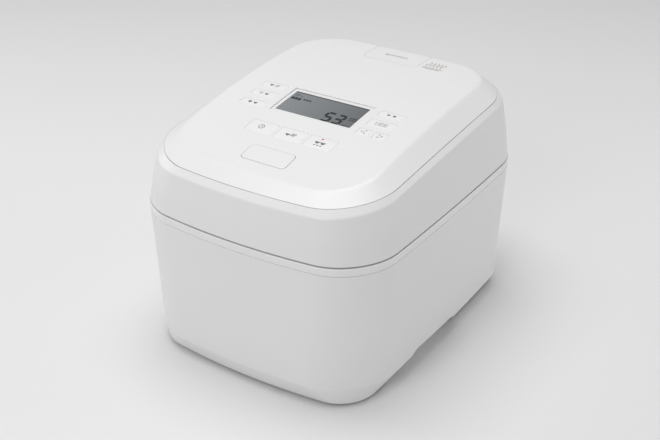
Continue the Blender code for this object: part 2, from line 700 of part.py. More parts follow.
def make_hinge():
    """Two fixed knuckles on the base, one moving barrel on the lid, a pin and a spring."""
    bore = barrel("hinge_bore", -80 * MM, 80 * MM, radius=HINGE_PIN_RADIUS + GAP)
    base_space = grown_volume("base_space", (CHAMFER_TOP, BAND_TOP), 0.35 * MM)
    lid_space = grown_volume("lid_space", (LID_FOOT, LID_MIDDLE, LID_CREASE), 0.35 * MM)

    bracket = barrel("hinge_bracket", KNUCKLE_INNER, KNUCKLE_OUTER, "white_satin")
    bracket.data.transform(bracket.matrix_basis)
    bracket.matrix_basis = Matrix.Identity(4)
    boolean(bracket, hinge_leaf("bracket_leaf", False, KNUCKLE_INNER + 0.01 * MM,
                                KNUCKLE_OUTER - 0.01 * MM), 'UNION')
    boolean(bracket, base_space)
    boolean(bracket, bore)
    mirror = bracket.modifiers.new("mirror", 'MIRROR')
    mirror.merge_threshold = 0.0001
    bridge = box("bracket_bridge", (2 * KNUCKLE_INNER + 4 * MM, 3.0 * MM, 12 * MM))
    boolean(bracket, move(bridge, 0, BODY_Y + BAND_TOP.half_depth + 2.1 * MM,
                          HINGE_HEIGHT - 18 * MM), 'UNION')

    arm = barrel("hinge_arm", -ARM_HALF + SPRING_ROOM, ARM_HALF, "white_satin")
    boolean(arm, hinge_leaf("arm_leaf", True, -ARM_HALF + SPRING_ROOM + 0.01 * MM,
                            ARM_HALF - 0.01 * MM), 'UNION')
    boolean(arm, lid_space)
    boolean(arm, bore)

    barrel("hinge_pin", -KNUCKLE_OUTER - 1 * MM, KNUCKLE_OUTER + 1 * MM, "steel", HINGE_PIN_RADIUS)

    turns = 3
    per_turn = 8
    coil_radius = 4.4 * MM
    room = SPRING_ROOM - 2.6 * MM
    points = []
    for i in range(turns * per_turn + 1):
        angle = 2 * math.pi * i / per_turn
        x = -ARM_HALF + 1.3 * MM + room * i / (turns * per_turn)
        points.append((x, HINGE_Y + coil_radius * math.cos(angle),
                       HINGE_HEIGHT + coil_radius * math.sin(angle)))
    wire("hinge_spring", points, 0.55 * MM, "steel")


# ---------------------------------------------------------------- lid: outer mouldings
def make_lid_frame():
    """The lid's side wall and rounded shoulder, up to the seam of the top panel."""
    rings = [
        ring(LID_FOOT),
        ring(LID_MIDDLE),
        ring(LID_CREASE),
        ring(between(LID_CREASE, PANEL_EDGE, 0.5), inset=-0.4 * MM, drop=-0.4 * MM),
        ring(PANEL_EDGE),
        ring(PANEL_EDGE, inset=1.5 * MM, drop=1.6 * MM),
        ring(LID_CREASE, inset=SHELL, drop=0.8 * MM),
        ring(LID_FOOT, inset=SHELL),
    ]
    return smooth(loft("lid_frame", rings, "white_satin", ends='JOINED'))


PANEL_START = dict(inset=0.42 * MM, drop=-0.28 * MM)
PANEL_WALL = 2.2 * MM


def panel_rings(inset=0.0, drop=0.0):
    """Rings over the top panel's outside, from its edge to the middle of the plateau."""
    start = ring(PANEL_EDGE, inset=PANEL_START["inset"] + inset, drop=PANEL_START["drop"] + drop)
    rim = between(PANEL_EDGE, PLATEAU_EDGE, 0.9)
    rings = [start, ring(rim, inset=inset * 0.7, drop=drop - 0.3 * MM)]
    rings.append(ring(PLATEAU_EDGE, inset=2.0 * MM + inset * 0.5, drop=drop))
    for scale in (0.72, 0.44, 0.16):
        rings.append(ring(PLATEAU_EDGE, drop=drop, scale=scale))
    return rings


def panel_volume(name, drop):
    """The solid under the top panel's outside, lowered by a distance."""
    rings = panel_rings(inset=drop, drop=drop)
    floor = [Vector((p.x, p.y, 0.190)) for p in rings[0]]
    return loft(name, [floor] + rings)


def key_holes():
    """Boxes through the panel for the keys, the open button, the display and the steam cap."""
    places = []
    for key in (*KEYS, OPEN_BUTTON, DISPLAY):
        size = (key.width * MM + 2 * KEY_GAP, key.depth * MM + 2 * KEY_GAP, 14 * MM)
        places.append((size, on_plateau(key, 0.0)))
    width = 2 * STEAM_HALF_WIDTH + 0.8 * MM
    depth = STEAM_REAR - STEAM_FRONT + 0.8 * MM
    middle = BODY_Y + (STEAM_REAR + STEAM_FRONT) / 2
    places.append(((width, depth, 60 * MM), Matrix.Translation((0, middle, 228 * MM))))
    return boxes("panel_openings", places)


def make_top_panel():
    outside = panel_rings()
    inside = panel_rings(inset=1.5 * MM, drop=1.6 * MM)
    inside[1:] = panel_rings(inset=PANEL_WALL, drop=PANEL_WALL)[1:]
    panel = loft("top_panel", list(reversed(outside)) + inside, "white_satin", ends='POLES')
    boolean(panel, key_holes())
    return smooth(panel, 20)


def make_keys():
    for key in (*KEYS, OPEN_BUTTON):
        size = (key.width * MM, key.depth * MM, KEY_DEPTH)
        cap = box(key.name, size, "white_satin")
        cap.matrix_world = on_plateau(key, KEY_DEPTH / 2 - KEY_RISE)
        bevel(cap, 0.5 * MM)
    button = bpy.data.objects[OPEN_BUTTON.name]
    length = 17 * MM
    stem = cylinder("button_stem", 3 * MM, length, sides=16)
    stem.data.transform(Matrix.Translation((0, -2 * MM, -length / 2)))
    stem.parent = button
    boolean(button, stem, 'UNION')


def make_display():
    thickness = 1.6 * MM
    lens = box("display_lens", (DISPLAY.width * MM, DISPLAY.depth * MM, thickness), "lens")
    lens.matrix_world = on_plateau(DISPLAY, thickness / 2 - 0.1 * MM)
    module = box("lcd_module", ((DISPLAY.width - 3) * MM, (DISPLAY.depth - 3) * MM, 4 * MM),
                 "display_glass")
    module.matrix_world = on_plateau(DISPLAY, thickness + 2.5 * MM)
    board_place = Key("control_board", 0, -37, 156, 98)
    board = box(board_place.name, (board_place.width * MM, board_place.depth * MM, 1.6 * MM),
                "circuit_board")
    board.matrix_world = on_plateau(board_place, 13 * MM)


# ---------------------------------------------------------------- lid: steam path
def make_steam_cap():
    """The lift-off steam cap: a hollow block whose top continues the panel, with a vent slot."""
    depth = STEAM_REAR - STEAM_FRONT
    middle = BODY_Y + (STEAM_REAR + STEAM_FRONT) / 2
    low = 203 * MM
    cap = box("steam_cap", (2 * STEAM_HALF_WIDTH, depth, 45 * MM), "white_satin")
    cap.data.transform(Matrix.Translation((0, middle, low + 22.5 * MM)))
    boolean(cap, panel_volume("cap_surface", 0.0), 'INTERSECT')
    hollow = box("cap_hollow", (2 * STEAM_HALF_WIDTH - 4 * MM, depth - 4 * MM, 24 * MM))
    boolean(cap, move(hollow, 0, middle, low + 6 * MM))
    slot = box("cap_slot", (25 * MM, 3 * MM, 40 * MM))
    boolean(cap, move(slot, 0, BODY_Y + 115.5 * MM, low + 30 * MM))
    gasket = [(10 * MM, 202.6 * MM), (15 * MM, 202.6 * MM), (15 * MM, 199.0 * MM), (10 * MM, 199.0 * MM)]
    move(turned("steam_cap_gasket", gasket, "silicone", steps=24), 0, DUCT_TOP_Y, 0)
    return cap


def make_steam_pocket():
    """The well that the steam cap drops into."""
    wall = 1.5 * MM
    room = 0.6 * MM
    depth = STEAM_REAR - STEAM_FRONT
    middle = BODY_Y + (STEAM_REAR + STEAM_FRONT) / 2
    outer = (2 * (STEAM_HALF_WIDTH + room + wall), depth + 2 * (room + wall), 50 * MM)
    inner = (2 * (STEAM_HALF_WIDTH + room), depth + 2 * room, 50 * MM)
    floor = 196.4 * MM
    pocket = box("steam_pocket", outer, "white_satin")
    pocket.data.transform(Matrix.Translation((0, middle, floor + outer[2] / 2)))
    boolean(pocket, panel_volume("under_panel", 3.0 * MM), 'INTERSECT')
    hollow = box("pocket_space", inner)
    boolean(pocket, move(hollow, 0, middle, floor + 2 * MM + inner[2] / 2))
    drain = cylinder("pocket_drain", 9 * MM, 30 * MM, sides=20)
    boolean(pocket, move(drain, 0, DUCT_TOP_Y, floor))
    return pocket


def make_steam_duct():
    """A tube that stands over the valve ball, then slants back up to the steam pocket."""
    low = 158.4 * MM
    bend = 167.0 * MM
    high = 196.0 * MM
    steps = 20

    def circle(radius, y, z):
        return [Vector((radius * math.cos(2 * math.pi * i / steps),
                        y + radius * math.sin(2 * math.pi * i / steps), z)) for i in range(steps)]

    outer = 11 * MM
    inner = 9.3 * MM
    rings = [circle(outer, VALVE_Y, low), circle(outer, VALVE_Y, bend), circle(outer, DUCT_TOP_Y, high),
             circle(inner, DUCT_TOP_Y, high), circle(inner, VALVE_Y, bend), circle(inner, VALVE_Y, low)]
    return smooth(loft("steam_duct", rings, "grey_plastic", ends='JOINED'))


def make_lid_underside():
    """The moulding that closes the lid from below, with a round well for the inner lid."""
    low = 152.9 * MM
    high = 155.1 * MM
    well = 156.2 * MM
    edge = ring(LID_FOOT, inset=SHELL + 0.5 * MM, drop=LID_FOOT.height - low)
    edge_top = ring(LID_FOOT, inset=SHELL + 0.7 * MM, drop=LID_FOOT.height - high)
    rings = [
        round_ring(30 * MM, well, edge),
        round_ring(107 * MM, well, edge), round_ring(108 * MM, low, edge), edge, edge_top,
        round_ring(109 * MM, high, edge), round_ring(107.5 * MM, well + 2 * MM, edge),
        round_ring(30 * MM, well + 2 * MM, edge),
    ]
    under = loft("lid_underside", rings, "white_satin", ends='CAPS')
    slot = box("latch_way", (20 * MM, 13.0 * MM, 20 * MM))
    boolean(under, move(slot, 0, LATCH_PIVOT_Y - 2.0 * MM, high))
    valve_hole = cylinder("valve_way", 10.5 * MM, 20 * MM, sides=20)
    boolean(under, move(valve_hole, 0, VALVE_Y, well))
    return under


def make_inner_lid():
    """The pressed inner lid with its seal, a valve ball and the lid heater above it."""
    top = 153.6 * MM
    sheet = 1.2 * MM
    plate = [(0, top + 1.4 * MM), (40 * MM, top + 1.4 * MM), (46 * MM, top), (92 * MM, top),
             (95 * MM, top + 1.2 * MM), (99 * MM, top + 1.2 * MM), (99 * MM, top + 1.2 * MM - sheet),
             (95.5 * MM, top + 1.2 * MM - sheet), (92.5 * MM, top - sheet), (45.6 * MM, top - sheet),
             (39.6 * MM, top + 1.4 * MM - sheet), (0, top + 1.4 * MM - sheet)]
    lid = on_pot_axis(turned("inner_lid", plate, "steel", closed=False))
    hole = cylinder("valve_hole", 3.2 * MM, 20 * MM, sides=16)
    boolean(lid, move(hole, 0, VALVE_Y, top))
    seal = [(99.5 * MM, 155.6 * MM), (104.5 * MM, 155.6 * MM), (105.5 * MM, 153.0 * MM),
            (103.0 * MM, 150.4 * MM), (101.6 * MM, 150.4 * MM), (102.6 * MM, 152.6 * MM),
            (99.5 * MM, 153.0 * MM)]
    on_pot_axis(turned("inner_lid_gasket", seal, "silicone"))
    heater = [(34 * MM, 159.8 * MM), (40 * MM, 159.8 * MM), (40 * MM, 158.6 * MM), (34 * MM, 158.6 * MM)]
    on_pot_axis(turned("lid_heater", heater, "aluminium", steps=24))
    bm = bmesh.new()
    radius = 5 * MM
    bmesh.ops.create_uvsphere(bm, u_segments=16, v_segments=10, radius=radius)
    ball = object_from_bmesh("pressure_ball", bm, "steel")
    seat_height = math.sqrt(radius ** 2 - (3.2 * MM) ** 2)
    smooth(move(ball, 0, VALVE_Y, top + seat_height + 2 * GAP), 60)


# ---------------------------------------------------------------- latch
def make_latch():
    """A lever on a cross pin. Its rear arm lies under the button, its hook reaches the catch."""
    y = LATCH_PIVOT_Y
    z = LATCH_PIVOT_Z
    hook = [(y - 3.4 * MM, z - 3 * MM), (y - 3.4 * MM, 139.6 * MM), (y - 0.6 * MM, 139.6 * MM),
            (y + 2.2 * MM, 141.6 * MM), (y + 2.2 * MM, 142.8 * MM), (y - 0.4 * MM, 142.8 * MM),
            (y - 0.4 * MM, z - 6 * MM), (y + 5 * MM, z - 2 * MM), (y + 38 * MM, z + 12.4 * MM),
            (y + 38 * MM, z + 15.8 * MM), (y + 2 * MM, z + 6 * MM), (y - 2 * MM, z + 6 * MM),
            (y - 5 * MM, z + 1 * MM)]
    latch = extruded("latch_hook", hook, 14 * MM, "grey_plastic")
    pivot = cylinder("latch_bore", 2.3 * MM, 60 * MM, sides=20)
    pivot.data.transform(Matrix.Rotation(math.radians(90), 4, 'Y'))
    boolean(latch, move(pivot, 0, y, z))

    pin = cylinder("latch_pin", 2.0 * MM, 40 * MM, "steel", sides=20)
    pin.data.transform(Matrix.Rotation(math.radians(90), 4, 'Y'))
    move(pin, 0, y, z)

    turns = 2
    per_turn = 8
    points = []
    for i in range(turns * per_turn + 1):
        angle = 2 * math.pi * i / per_turn
        points.append((9 * MM + 5 * MM * i / (turns * per_turn), y + 3.4 * MM * math.cos(angle),
                       z + 3.4 * MM * math.sin(angle)))
    wire("latch_spring", points, 0.5 * MM, "steel")

    catch = box("catch_plate", (30 * MM, 13 * MM, 1.6 * MM), "steel")
    return move(catch, 0, y + 2.7 * MM + 6.5 * MM, 144.0 * MM)


# ---------------------------------------------------------------- assembly
LID_PARTS = ("lid_frame", "top_panel", "lid_underside", "inner_lid", "inner_lid_gasket", "lid_heater",
             "display_lens", "lcd_module", "control_board", "steam_pocket", "steam_duct", "hinge_arm",
             "latch_pin", "latch_spring", "latch_hook_axis", "steam_cap", "steam_cap_gasket",
             "pressure_ball", OPEN_BUTTON.name, *(key.name for key in KEYS))


def hang_on_axis(axis_name, place_at, names):
    """Parent parts to an empty on their joint's axis, without moving them."""
    axis = bpy.data.objects.new(axis_name, None)
    axis.location = place_at
    collection(OBJECT_NAME).objects.link(axis)
    for name in names:
        part = bpy.data.objects[name]
        part.parent = axis
        part.matrix_parent_inverse = Matrix.Translation(place_at).inverted()


def main():
    clear_scene()
    make_body_shell()
    make_shoulder_ring()
    make_bottom_cover()
    make_feet()
    make_cord_outlet()
    make_pot_chamber()
    make_inner_pot()
    make_coil_carrier()
    make_induction_coils()
    make_ferrite_bars()
    make_temperature_sensor()
    make_side_heater()
    make_inverter_board()
    make_heat_sink()
    make_fan()
    make_cord_reel()
    make_hinge()
    make_lid_frame()
    make_top_panel()
    make_keys()
    make_display()
    make_steam_cap()
    make_steam_pocket()
    make_steam_duct()
    make_lid_underside()
    make_inner_lid()
    make_latch()
    hang_on_axis("latch_hook_axis", (0, LATCH_PIVOT_Y, LATCH_PIVOT_Z), ("latch_hook",))
    hang_on_axis("lid_axis", (0, HINGE_Y, HINGE_HEIGHT), LID_PARTS)


main()
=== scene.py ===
"""The looks of a white induction rice cooker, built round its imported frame.

All sizes are metres. Every outer moulding is a skin carried over level sections
of the cooker: a rectangle with round corners whose four sides bow outwards.
"""
import math
from collections import namedtuple

import bmesh
import bpy
import numpy as np
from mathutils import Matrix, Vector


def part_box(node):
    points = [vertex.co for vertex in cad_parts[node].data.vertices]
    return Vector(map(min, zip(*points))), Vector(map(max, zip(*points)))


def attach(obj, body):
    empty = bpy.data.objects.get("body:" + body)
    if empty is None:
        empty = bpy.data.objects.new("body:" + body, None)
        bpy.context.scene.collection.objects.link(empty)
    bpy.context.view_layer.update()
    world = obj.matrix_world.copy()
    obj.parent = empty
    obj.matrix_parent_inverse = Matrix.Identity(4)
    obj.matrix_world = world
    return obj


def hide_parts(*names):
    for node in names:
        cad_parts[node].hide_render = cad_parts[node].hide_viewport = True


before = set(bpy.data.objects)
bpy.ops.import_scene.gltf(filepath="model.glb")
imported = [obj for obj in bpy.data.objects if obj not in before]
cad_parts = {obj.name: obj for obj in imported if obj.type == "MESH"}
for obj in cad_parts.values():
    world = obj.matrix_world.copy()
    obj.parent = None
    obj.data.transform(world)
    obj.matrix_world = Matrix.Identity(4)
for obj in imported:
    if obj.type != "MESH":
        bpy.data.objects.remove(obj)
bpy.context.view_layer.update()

MM = 0.001

# ---------------------------------------------------------------- places from the frame
def node_box(node):
    """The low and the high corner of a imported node's box, as arrays."""
    return tuple(np.array(corner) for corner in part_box(node))


LID_LOW, LID_HIGH = node_box("lid_frame")
HALF_WIDTH = (LID_HIGH[0] - LID_LOW[0]) / 2
HALF_DEPTH = (LID_HIGH[1] - LID_LOW[1]) / 2
BODY_Y = (LID_HIGH[1] + LID_LOW[1]) / 2
PIN_LOW, PIN_HIGH = node_box("hinge_pin")
HINGE_Y = (PIN_LOW[1] + PIN_HIGH[1]) / 2
HINGE_Z = (PIN_LOW[2] + PIN_HIGH[2]) / 2
POT_LOW, POT_HIGH = node_box("inner_pot")
POT_Y = (POT_LOW[1] + POT_HIGH[1]) / 2
DECK = POT_HIGH[2] - 2.4 * MM           # the pot's rim is 2.1 mm thick and stands 0.3 mm clear

# ---------------------------------------------------------------- level sections
# width_in and depth_in are how far a section lies inside the lid's foot. bow_y
# is how far the front and rear bow out, bow_x how far the sides do.
Section = namedtuple("Section", "width_in depth_in corner bow_y bow_x height slope crown")
CROWN_REACH = 150 * MM


def level(width_in, depth_in, corner, bow_y, bow_x, height, slope=0.0, crown=0.0):
    """A section from measures in millimetres. Its slope is a rise over a run."""
    return Section(width_in * MM, depth_in * MM, corner * MM, bow_y * MM, bow_x * MM,
                   height * MM, slope, crown * MM)


BOTTOM_EDGE = level(14.3, 9.5, 30.0, 10.5, 3.8, 3.2)
CHAMFER_TOP = level(3.7, 2.3, 57.0, 9.6, 3.6, 20.7)
WALL_TOP = level(0.2, 0.3, 48.4, 13.7, 3.2, 143.5)
BAND_FOOT = level(0.35, 0.45, 48.4, 13.7, 3.2, 143.7)
BAND_TOP = level(0.0, 0.0, 48.4, 13.7, 3.2, 151.2)
LID_FOOT = level(0.8, 0.8, 48.4, 13.7, 3.2, 152.6)
LID_MIDDLE = level(3.1, 3.8, 49.2, 12.9, 3.0, 180.8, 0.035, 2.2)
LID_CREASE = level(7.5, 8.8, 50.0, 12.0, 2.8, 208.9, 0.070, 4.4)
PANEL_EDGE = level(10.8, 14.5, 53.0, 10.4, 2.3, 214.8, 0.0738, 4.4)
PLATEAU_EDGE = level(27.7, 31.8, 44.4, 3.2, 2.0, 230.1, 0.0995, 11.3)

SIDE_POINTS = 44
CORNER_POINTS = 28
BLOCK_SIDE_POINTS, BLOCK_CORNER_POINTS = 6, 8       # for keys, caps and windows


def outline(half_x, half_y, corner, side_points, corner_points):
    """A rectangle with round corners as an (n, 2) loop, anticlockwise from the middle of +X.

    A quarter is half a side, a quarter circle and half a side; the rest is its mirror images.
    """
    climb = np.linspace(0.0, half_y - corner, side_points, endpoint=False)
    turn = np.linspace(0.0, math.pi / 2, corner_points, endpoint=False)
    across = np.linspace(half_x - corner, 0.0, side_points, endpoint=False)
    quarter = np.concatenate([
        np.stack([np.full_like(climb, half_x), climb], axis=1),
        np.stack([half_x - corner + corner * np.cos(turn),
                  half_y - corner + corner * np.sin(turn)], axis=1),
        np.stack([across, np.full_like(across, half_y)], axis=1),
    ])
    top = np.array([[0.0, half_y]])
    flip_x = np.concatenate([top, quarter[:0:-1]]) * (-1, 1)
    half = np.concatenate([quarter, flip_x])
    return np.concatenate([half, -half])


def plateau_height(y):
    """Height of the lid's plateau at y behind the body's middle: a slope less a parabola."""
    return section_height(PLATEAU_EDGE, y)


def section_height(sec, y):
    """A section's height, plus its slope times y, less its crown times (y over the reach) squared."""
    return sec.height + sec.slope * y - sec.crown * (y / CROWN_REACH) ** 2


def ring(sec, inset=0.0, drop=0.0, scale=1.0):
    """The points round a section, as (n, 3).

    Each side is bowed by its bow times one less the square of the place along it.
    """
    half_x = HALF_WIDTH - sec.width_in - sec.bow_x - inset
    half_y = HALF_DEPTH - sec.depth_in - sec.bow_y - inset
    corner = max(sec.corner - inset, 4 * MM)
    x, y = outline(half_x, half_y, corner, SIDE_POINTS, CORNER_POINTS).T
    bowed_x = scale * (x + sec.bow_x * (1 - (y / half_y) ** 2) * x / half_x)
    bowed_y = scale * (y + sec.bow_y * (1 - (x / half_x) ** 2) * y / half_y)
    return np.stack([bowed_x, bowed_y + BODY_Y, section_height(sec, bowed_y) - drop], axis=1)


def pot_ring(radius, height, like):
    """Points on a circle about the pot's axis, in the directions of another ring's points."""
    spokes = like[:, :2] - (0.0, POT_Y)
    spokes = spokes / np.linalg.norm(spokes, axis=1, keepdims=True) * radius
    return np.column_stack([spokes + (0.0, POT_Y), np.full(len(like), height)])


def circle(radius, height, centre=(0.0, 0.0), steps=160):
    """Points round a level circle: the centre plus radius times (cos, sin) of an even angle."""
    angle = np.linspace(0, 2 * math.pi, steps, endpoint=False)
    return np.stack([centre[0] + radius * np.cos(angle), centre[1] + radius * np.sin(angle),
                     np.full(steps, height)], axis=1)


# ---------------------------------------------------------------- meshes from rings
FILLET_STEPS = 6
SUPPORT = 1.35          # where a supporting ring stands, in trims from the corner
LONGEST_TRIM = 0.36     # the most that a trim takes of the way to the next ring
COINCIDENT = 1e-7       # points closer than this are one point
FLAT_SHARP = 30         # degrees between faces past which an extruded or printed edge stays sharp
CARVED_SHARP = 32       # the same for a carved moulding


def unit(vectors):
    """Vectors divided by their own lengths."""
    return vectors / np.maximum(np.linalg.norm(vectors, axis=-1, keepdims=True), 1e-12)


def rounded(rings, trims, closed=False):
    """Rings with each corner of the path through them rounded.

    A corner with a trim t becomes a parabola that leaves the path t before the corner and
    meets it again t after, with a supporting ring on each side to keep the flats flat.
    """
    count = len(rings)
    rows = []
    for i, (corner, trim) in enumerate(zip(rings, trims)):
        is_end = not closed and i in (0, count - 1)
        if trim == 0 or is_end:
            rows.append(corner)
            continue
        back = rings[i - 1] - corner
        on = rings[(i + 1) % count] - corner
        reach_back = np.minimum(trim, np.linalg.norm(back, axis=1, keepdims=True) * LONGEST_TRIM)
        reach_on = np.minimum(trim, np.linalg.norm(on, axis=1, keepdims=True) * LONGEST_TRIM)
        start = corner + unit(back) * reach_back
        end = corner + unit(on) * reach_on
        rows.append(corner + unit(back) * reach_back * SUPPORT)
        for share in np.linspace(0, 1, FILLET_STEPS + 1):
            rows.append((1 - share) ** 2 * start + 2 * share * (1 - share) * corner + share ** 2 * end)
        rows.append(corner + unit(on) * reach_on * SUPPORT)
    return rows


def mesh_object(name, points, faces, sharp=None):
    """A smooth-shaded mesh. Edges that turn by more than sharp degrees stay sharp."""
    mesh = bpy.data.meshes.new(name)
    mesh.from_pydata(points.tolist(), [], faces)
    mesh.update()
    made = bpy.data.objects.new(name, mesh)
    bpy.context.scene.collection.objects.link(made)
    mesh.shade_smooth()
    if sharp:
        mesh.set_sharp_from_angle(angle=math.radians(sharp))
    return made


def face_outwards(made, merge=False):
    """Turn a closed mesh's faces outwards, after points that coincide are merged if asked."""
    bm = bmesh.new()
    bm.from_mesh(made.data)
    if merge:
        bmesh.ops.remove_doubles(bm, verts=bm.verts, dist=COINCIDENT)
    bmesh.ops.recalc_face_normals(bm, faces=bm.faces)
    bm.to_mesh(made.data)
    bm.free()


def face_volume(points, quads):
    """Six times the volume that the faces enclose, positive where they face outwards."""
    corners = points[quads]
    a, b, c, d = (corners[:, i] for i in range(4))
    return float(np.sum(a * np.cross(b, c)) + np.sum(a * np.cross(c, d)))


def skin(name, rows, ends='JOINED', sharp=None):
    """A closed mesh over rows of rings. Its ends are JOINED to each other or are POLES."""
    points = np.concatenate(rows)
    count = len(rows[0])
    levels = len(rows)
    pairs = levels if ends == 'JOINED' else levels - 1
    low = np.arange(pairs)[:, None] * count
    high = (np.arange(pairs)[:, None] + 1) % levels * count
    here = np.arange(count)[None, :]
    there = (here + 1) % count
    quads = np.stack([low + here, low + there, high + there, high + here], axis=-1).reshape(-1, 4)
    if ends == 'POLES':
        first = rows[0].mean(axis=0)
        last = rows[-1].mean(axis=0)
        points = np.concatenate([points, [first, last]])
        pole = levels * count
        here, there = here[0], there[0]
        top = (levels - 1) * count
        fan = np.stack([there, here, np.full(count, pole), np.full(count, pole)], axis=1)
        cap = np.stack([top + here, top + there, np.full(count, pole + 1), np.full(count, pole + 1)],
                       axis=1)
        quads = np.concatenate([quads, fan, cap])
    if face_volume(points, quads) < 0:
        quads = quads[:, ::-1]
    faces = [list(dict.fromkeys(face)) for face in quads.tolist()]
    return mesh_object(name, points, faces, sharp)


def turned(name, profile, trims, centre_y, centre_x=0.0, closed=True, steps=160, sharp=None):
    """A profile of (radius, height) turned about a vertical axis, its corners rounded.

    A closed profile goes round a ring; an open one starts and ends near the axis.
    """
    rings = [circle(radius, height, (centre_x, centre_y), steps) for radius, height in profile]
    rows = rounded(rings, trims, closed)
    return skin(name, rows, 'JOINED' if closed else 'POLES', sharp)


def extruded(name, profile, low_x, high_x, round_by=0.0):
    """A flat (y, z) profile carried straight along X, with its edges rounded."""
    profile = np.asarray(profile)
    count = len(profile)
    ends = [np.column_stack([np.full(count, x), profile]) for x in (low_x, high_x)]
    faces = [[i, (i + 1) % count, count + (i + 1) % count, count + i] for i in range(count)]
    faces += [list(range(count))[::-1], list(range(count, 2 * count))]
    made = mesh_object(name, np.concatenate(ends), faces, sharp=FLAT_SHARP)
    face_outwards(made)
    if round_by:
        mod = made.modifiers.new("edge_round", 'BEVEL')
        mod.width = round_by
        mod.segments = 3
        mod.limit_method = 'ANGLE'
        mod.angle_limit = math.radians(35)
        mod.harden_normals = True
    return made


def latch_way(middle_y, low_z, high_z):
    """An upright cutter for the latch: 20 mm wide and 13 mm deep, between two heights."""
    front, rear = middle_y - 6.5 * MM, middle_y + 6.5 * MM
    return extruded("latch_way", [(front, low_z), (rear, low_z), (rear, high_z), (front, high_z)],
                    -10 * MM, 10 * MM)


def round_way(radius, middle_y, low_z, high_z, steps):
    """An upright round cutter between two heights."""
    profile = [(0.1 * MM, low_z), (radius, low_z), (radius, high_z), (0.1 * MM, high_z)]
    return turned("round_way", profile, [0] * 4, middle_y, closed=False, steps=steps)


def arc(centre, radius, start, stop, steps):
    """Points on a circle in a plane between two angles in degrees."""
    angle = np.radians(np.linspace(start, stop, steps))
    return np.stack([centre[0] + radius * np.cos(angle), centre[1] + radius * np.sin(angle)], axis=1)


def carve(obj, *cutters, operation='DIFFERENCE'):
    """Cut solids out of a mesh, or keep what lies in them, and use the cutters up."""
    for cutter in cutters:
        mod = obj.modifiers.new("carve", 'BOOLEAN')
        mod.operation = operation
        mod.solver = 'EXACT'
        mod.object = cutter
    carved = bpy.data.meshes.new_from_object(obj.evaluated_get(bpy.context.evaluated_depsgraph_get()))
    obj.modifiers.clear()
    obj.data = carved
    obj.data.shade_smooth()
    obj.data.set_sharp_from_angle(angle=math.radians(CARVED_SHARP))
    for cutter in cutters:
        bpy.data.objects.remove(cutter, do_unlink=True)
    return obj


# ---------------------------------------------------------------- colour and nodes
def srgb(text):
    """A hex colour as linear red, green, blue and alpha."""
    parts = [int(text[i:i + 2], 16) / 255 for i in (1, 3, 5)]
    linear = [c / 12.92 if c <= 0.04045 else ((c + 0.055) / 1.055) ** 2.4 for c in parts]
    return (*linear, 1.0)


def add(material, kind, inputs=None, **settings):
    """Add a node with its settings. An input is a value, or a (node, output) pair to link."""
    made = material.node_tree.nodes.new(kind)
    for key, value in settings.items():
        setattr(made, key, value)
    for key, value in (inputs or {}).items():
        if isinstance(value, tuple) and isinstance(value[0], bpy.types.Node):
            material.node_tree.links.new(value[0].outputs[value[1]], made.inputs[key])
        else:
            made.inputs[key].default_value = value
    return made


def new_material(name):
    """An empty node material and its shader, already joined to the output."""
    material = bpy.data.materials.new(name)
    material.use_nodes = True
    material.node_tree.nodes.clear()
    shader = add(material, 'ShaderNodeBsdfPrincipled')
    add(material, 'ShaderNodeOutputMaterial', {"Surface": (shader, 0)})
    return material, shader


def feed(material, shader, socket, source, output=0):
    """Link a node's output to one of the shader's sockets."""
    material.node_tree.links.new(source.outputs[output], shader.inputs[socket])


def grained(name, colour, shade, roughness, grain, relief, ior=1.5, metallic=0.0, coat=0.0,
            blotch=60 * MM, stretch=(1, 1, 1), spread=0.06):
    """A surface with slow colour drift, fine grain in its relief and a little in its gloss.

    grain is the grain's width in metres, relief its height, and blotch the width of the drift.
    """
    material, shader = new_material(name)
    place = add(material, 'ShaderNodeTexCoord')
    stretched = add(material, 'ShaderNodeMapping', {"Vector": (place, "Object"), "Scale": stretch})
    drift = add(material, 'ShaderNodeTexNoise',
                {"Vector": (place, "Object"), "Scale": 1 / blotch, "Detail": 3.0, "Roughness": 0.5})
    mix = add(material, 'ShaderNodeMix', {0: (drift, 0), 6: srgb(shade), 7: srgb(colour)},
              data_type='RGBA')
    feed(material, shader, "Base Color", mix, 2)
    fine = add(material, 'ShaderNodeTexNoise',
               {"Vector": (stretched, 0), "Scale": 1 / grain, "Detail": 2.0, "Roughness": 0.6})
    gloss = add(material, 'ShaderNodeMapRange',
                {"Value": (fine, 0), "From Min": 0.3, "From Max": 0.7,
                 "To Min": max(roughness - spread, 0.02), "To Max": roughness + spread})
    feed(material, shader, "Roughness", gloss)
    bump = add(material, 'ShaderNodeBump', {"Height": (fine, 0), "Strength": 1.0, "Distance": relief})
    feed(material, shader, "Normal", bump)
    shader.inputs["Metallic"].default_value = metallic
    if not metallic:
        shader.inputs["IOR"].default_value = ior
    if coat:
        shader.inputs["Coat Weight"].default_value = coat
        shader.inputs["Coat Roughness"].default_value = 0.08
    return material


def satin_white():
    """Injection-moulded polypropylene from a spark-eroded tool: soft, even white, faint grain."""
    # The real grain is about 0.1 mm wide. It is drawn at 0.7 mm so that it shows at all.
    return grained("satin_white_polypropylene", "#E7E7E7", "#E4E4E5", 0.36, 0.7 * MM, 0.004 * MM)


def panel_white():
    """The lid's top film: smoother than the body, with a slight silk sheen."""
    return grained("silk_white_acrylic_film", "#E7E7E7", "#E4E4E5", 0.30, 0.6 * MM, 0.002 * MM)


def gloss_white():
    """Polished white ABS: the same white with clear, sharp reflections."""
    return grained("polished_white_abs", "#E9E9E9", "#E6E6E7", 0.18, 1.2 * MM, 0.0015 * MM, coat=0.3,
                   spread=0.03)


def key_white():
    """Key caps moulded in a slightly brighter white than the panel."""
    return grained("bright_white_key_abs", "#E9E9E9", "#E6E6E6", 0.34, 0.5 * MM, 0.002 * MM)


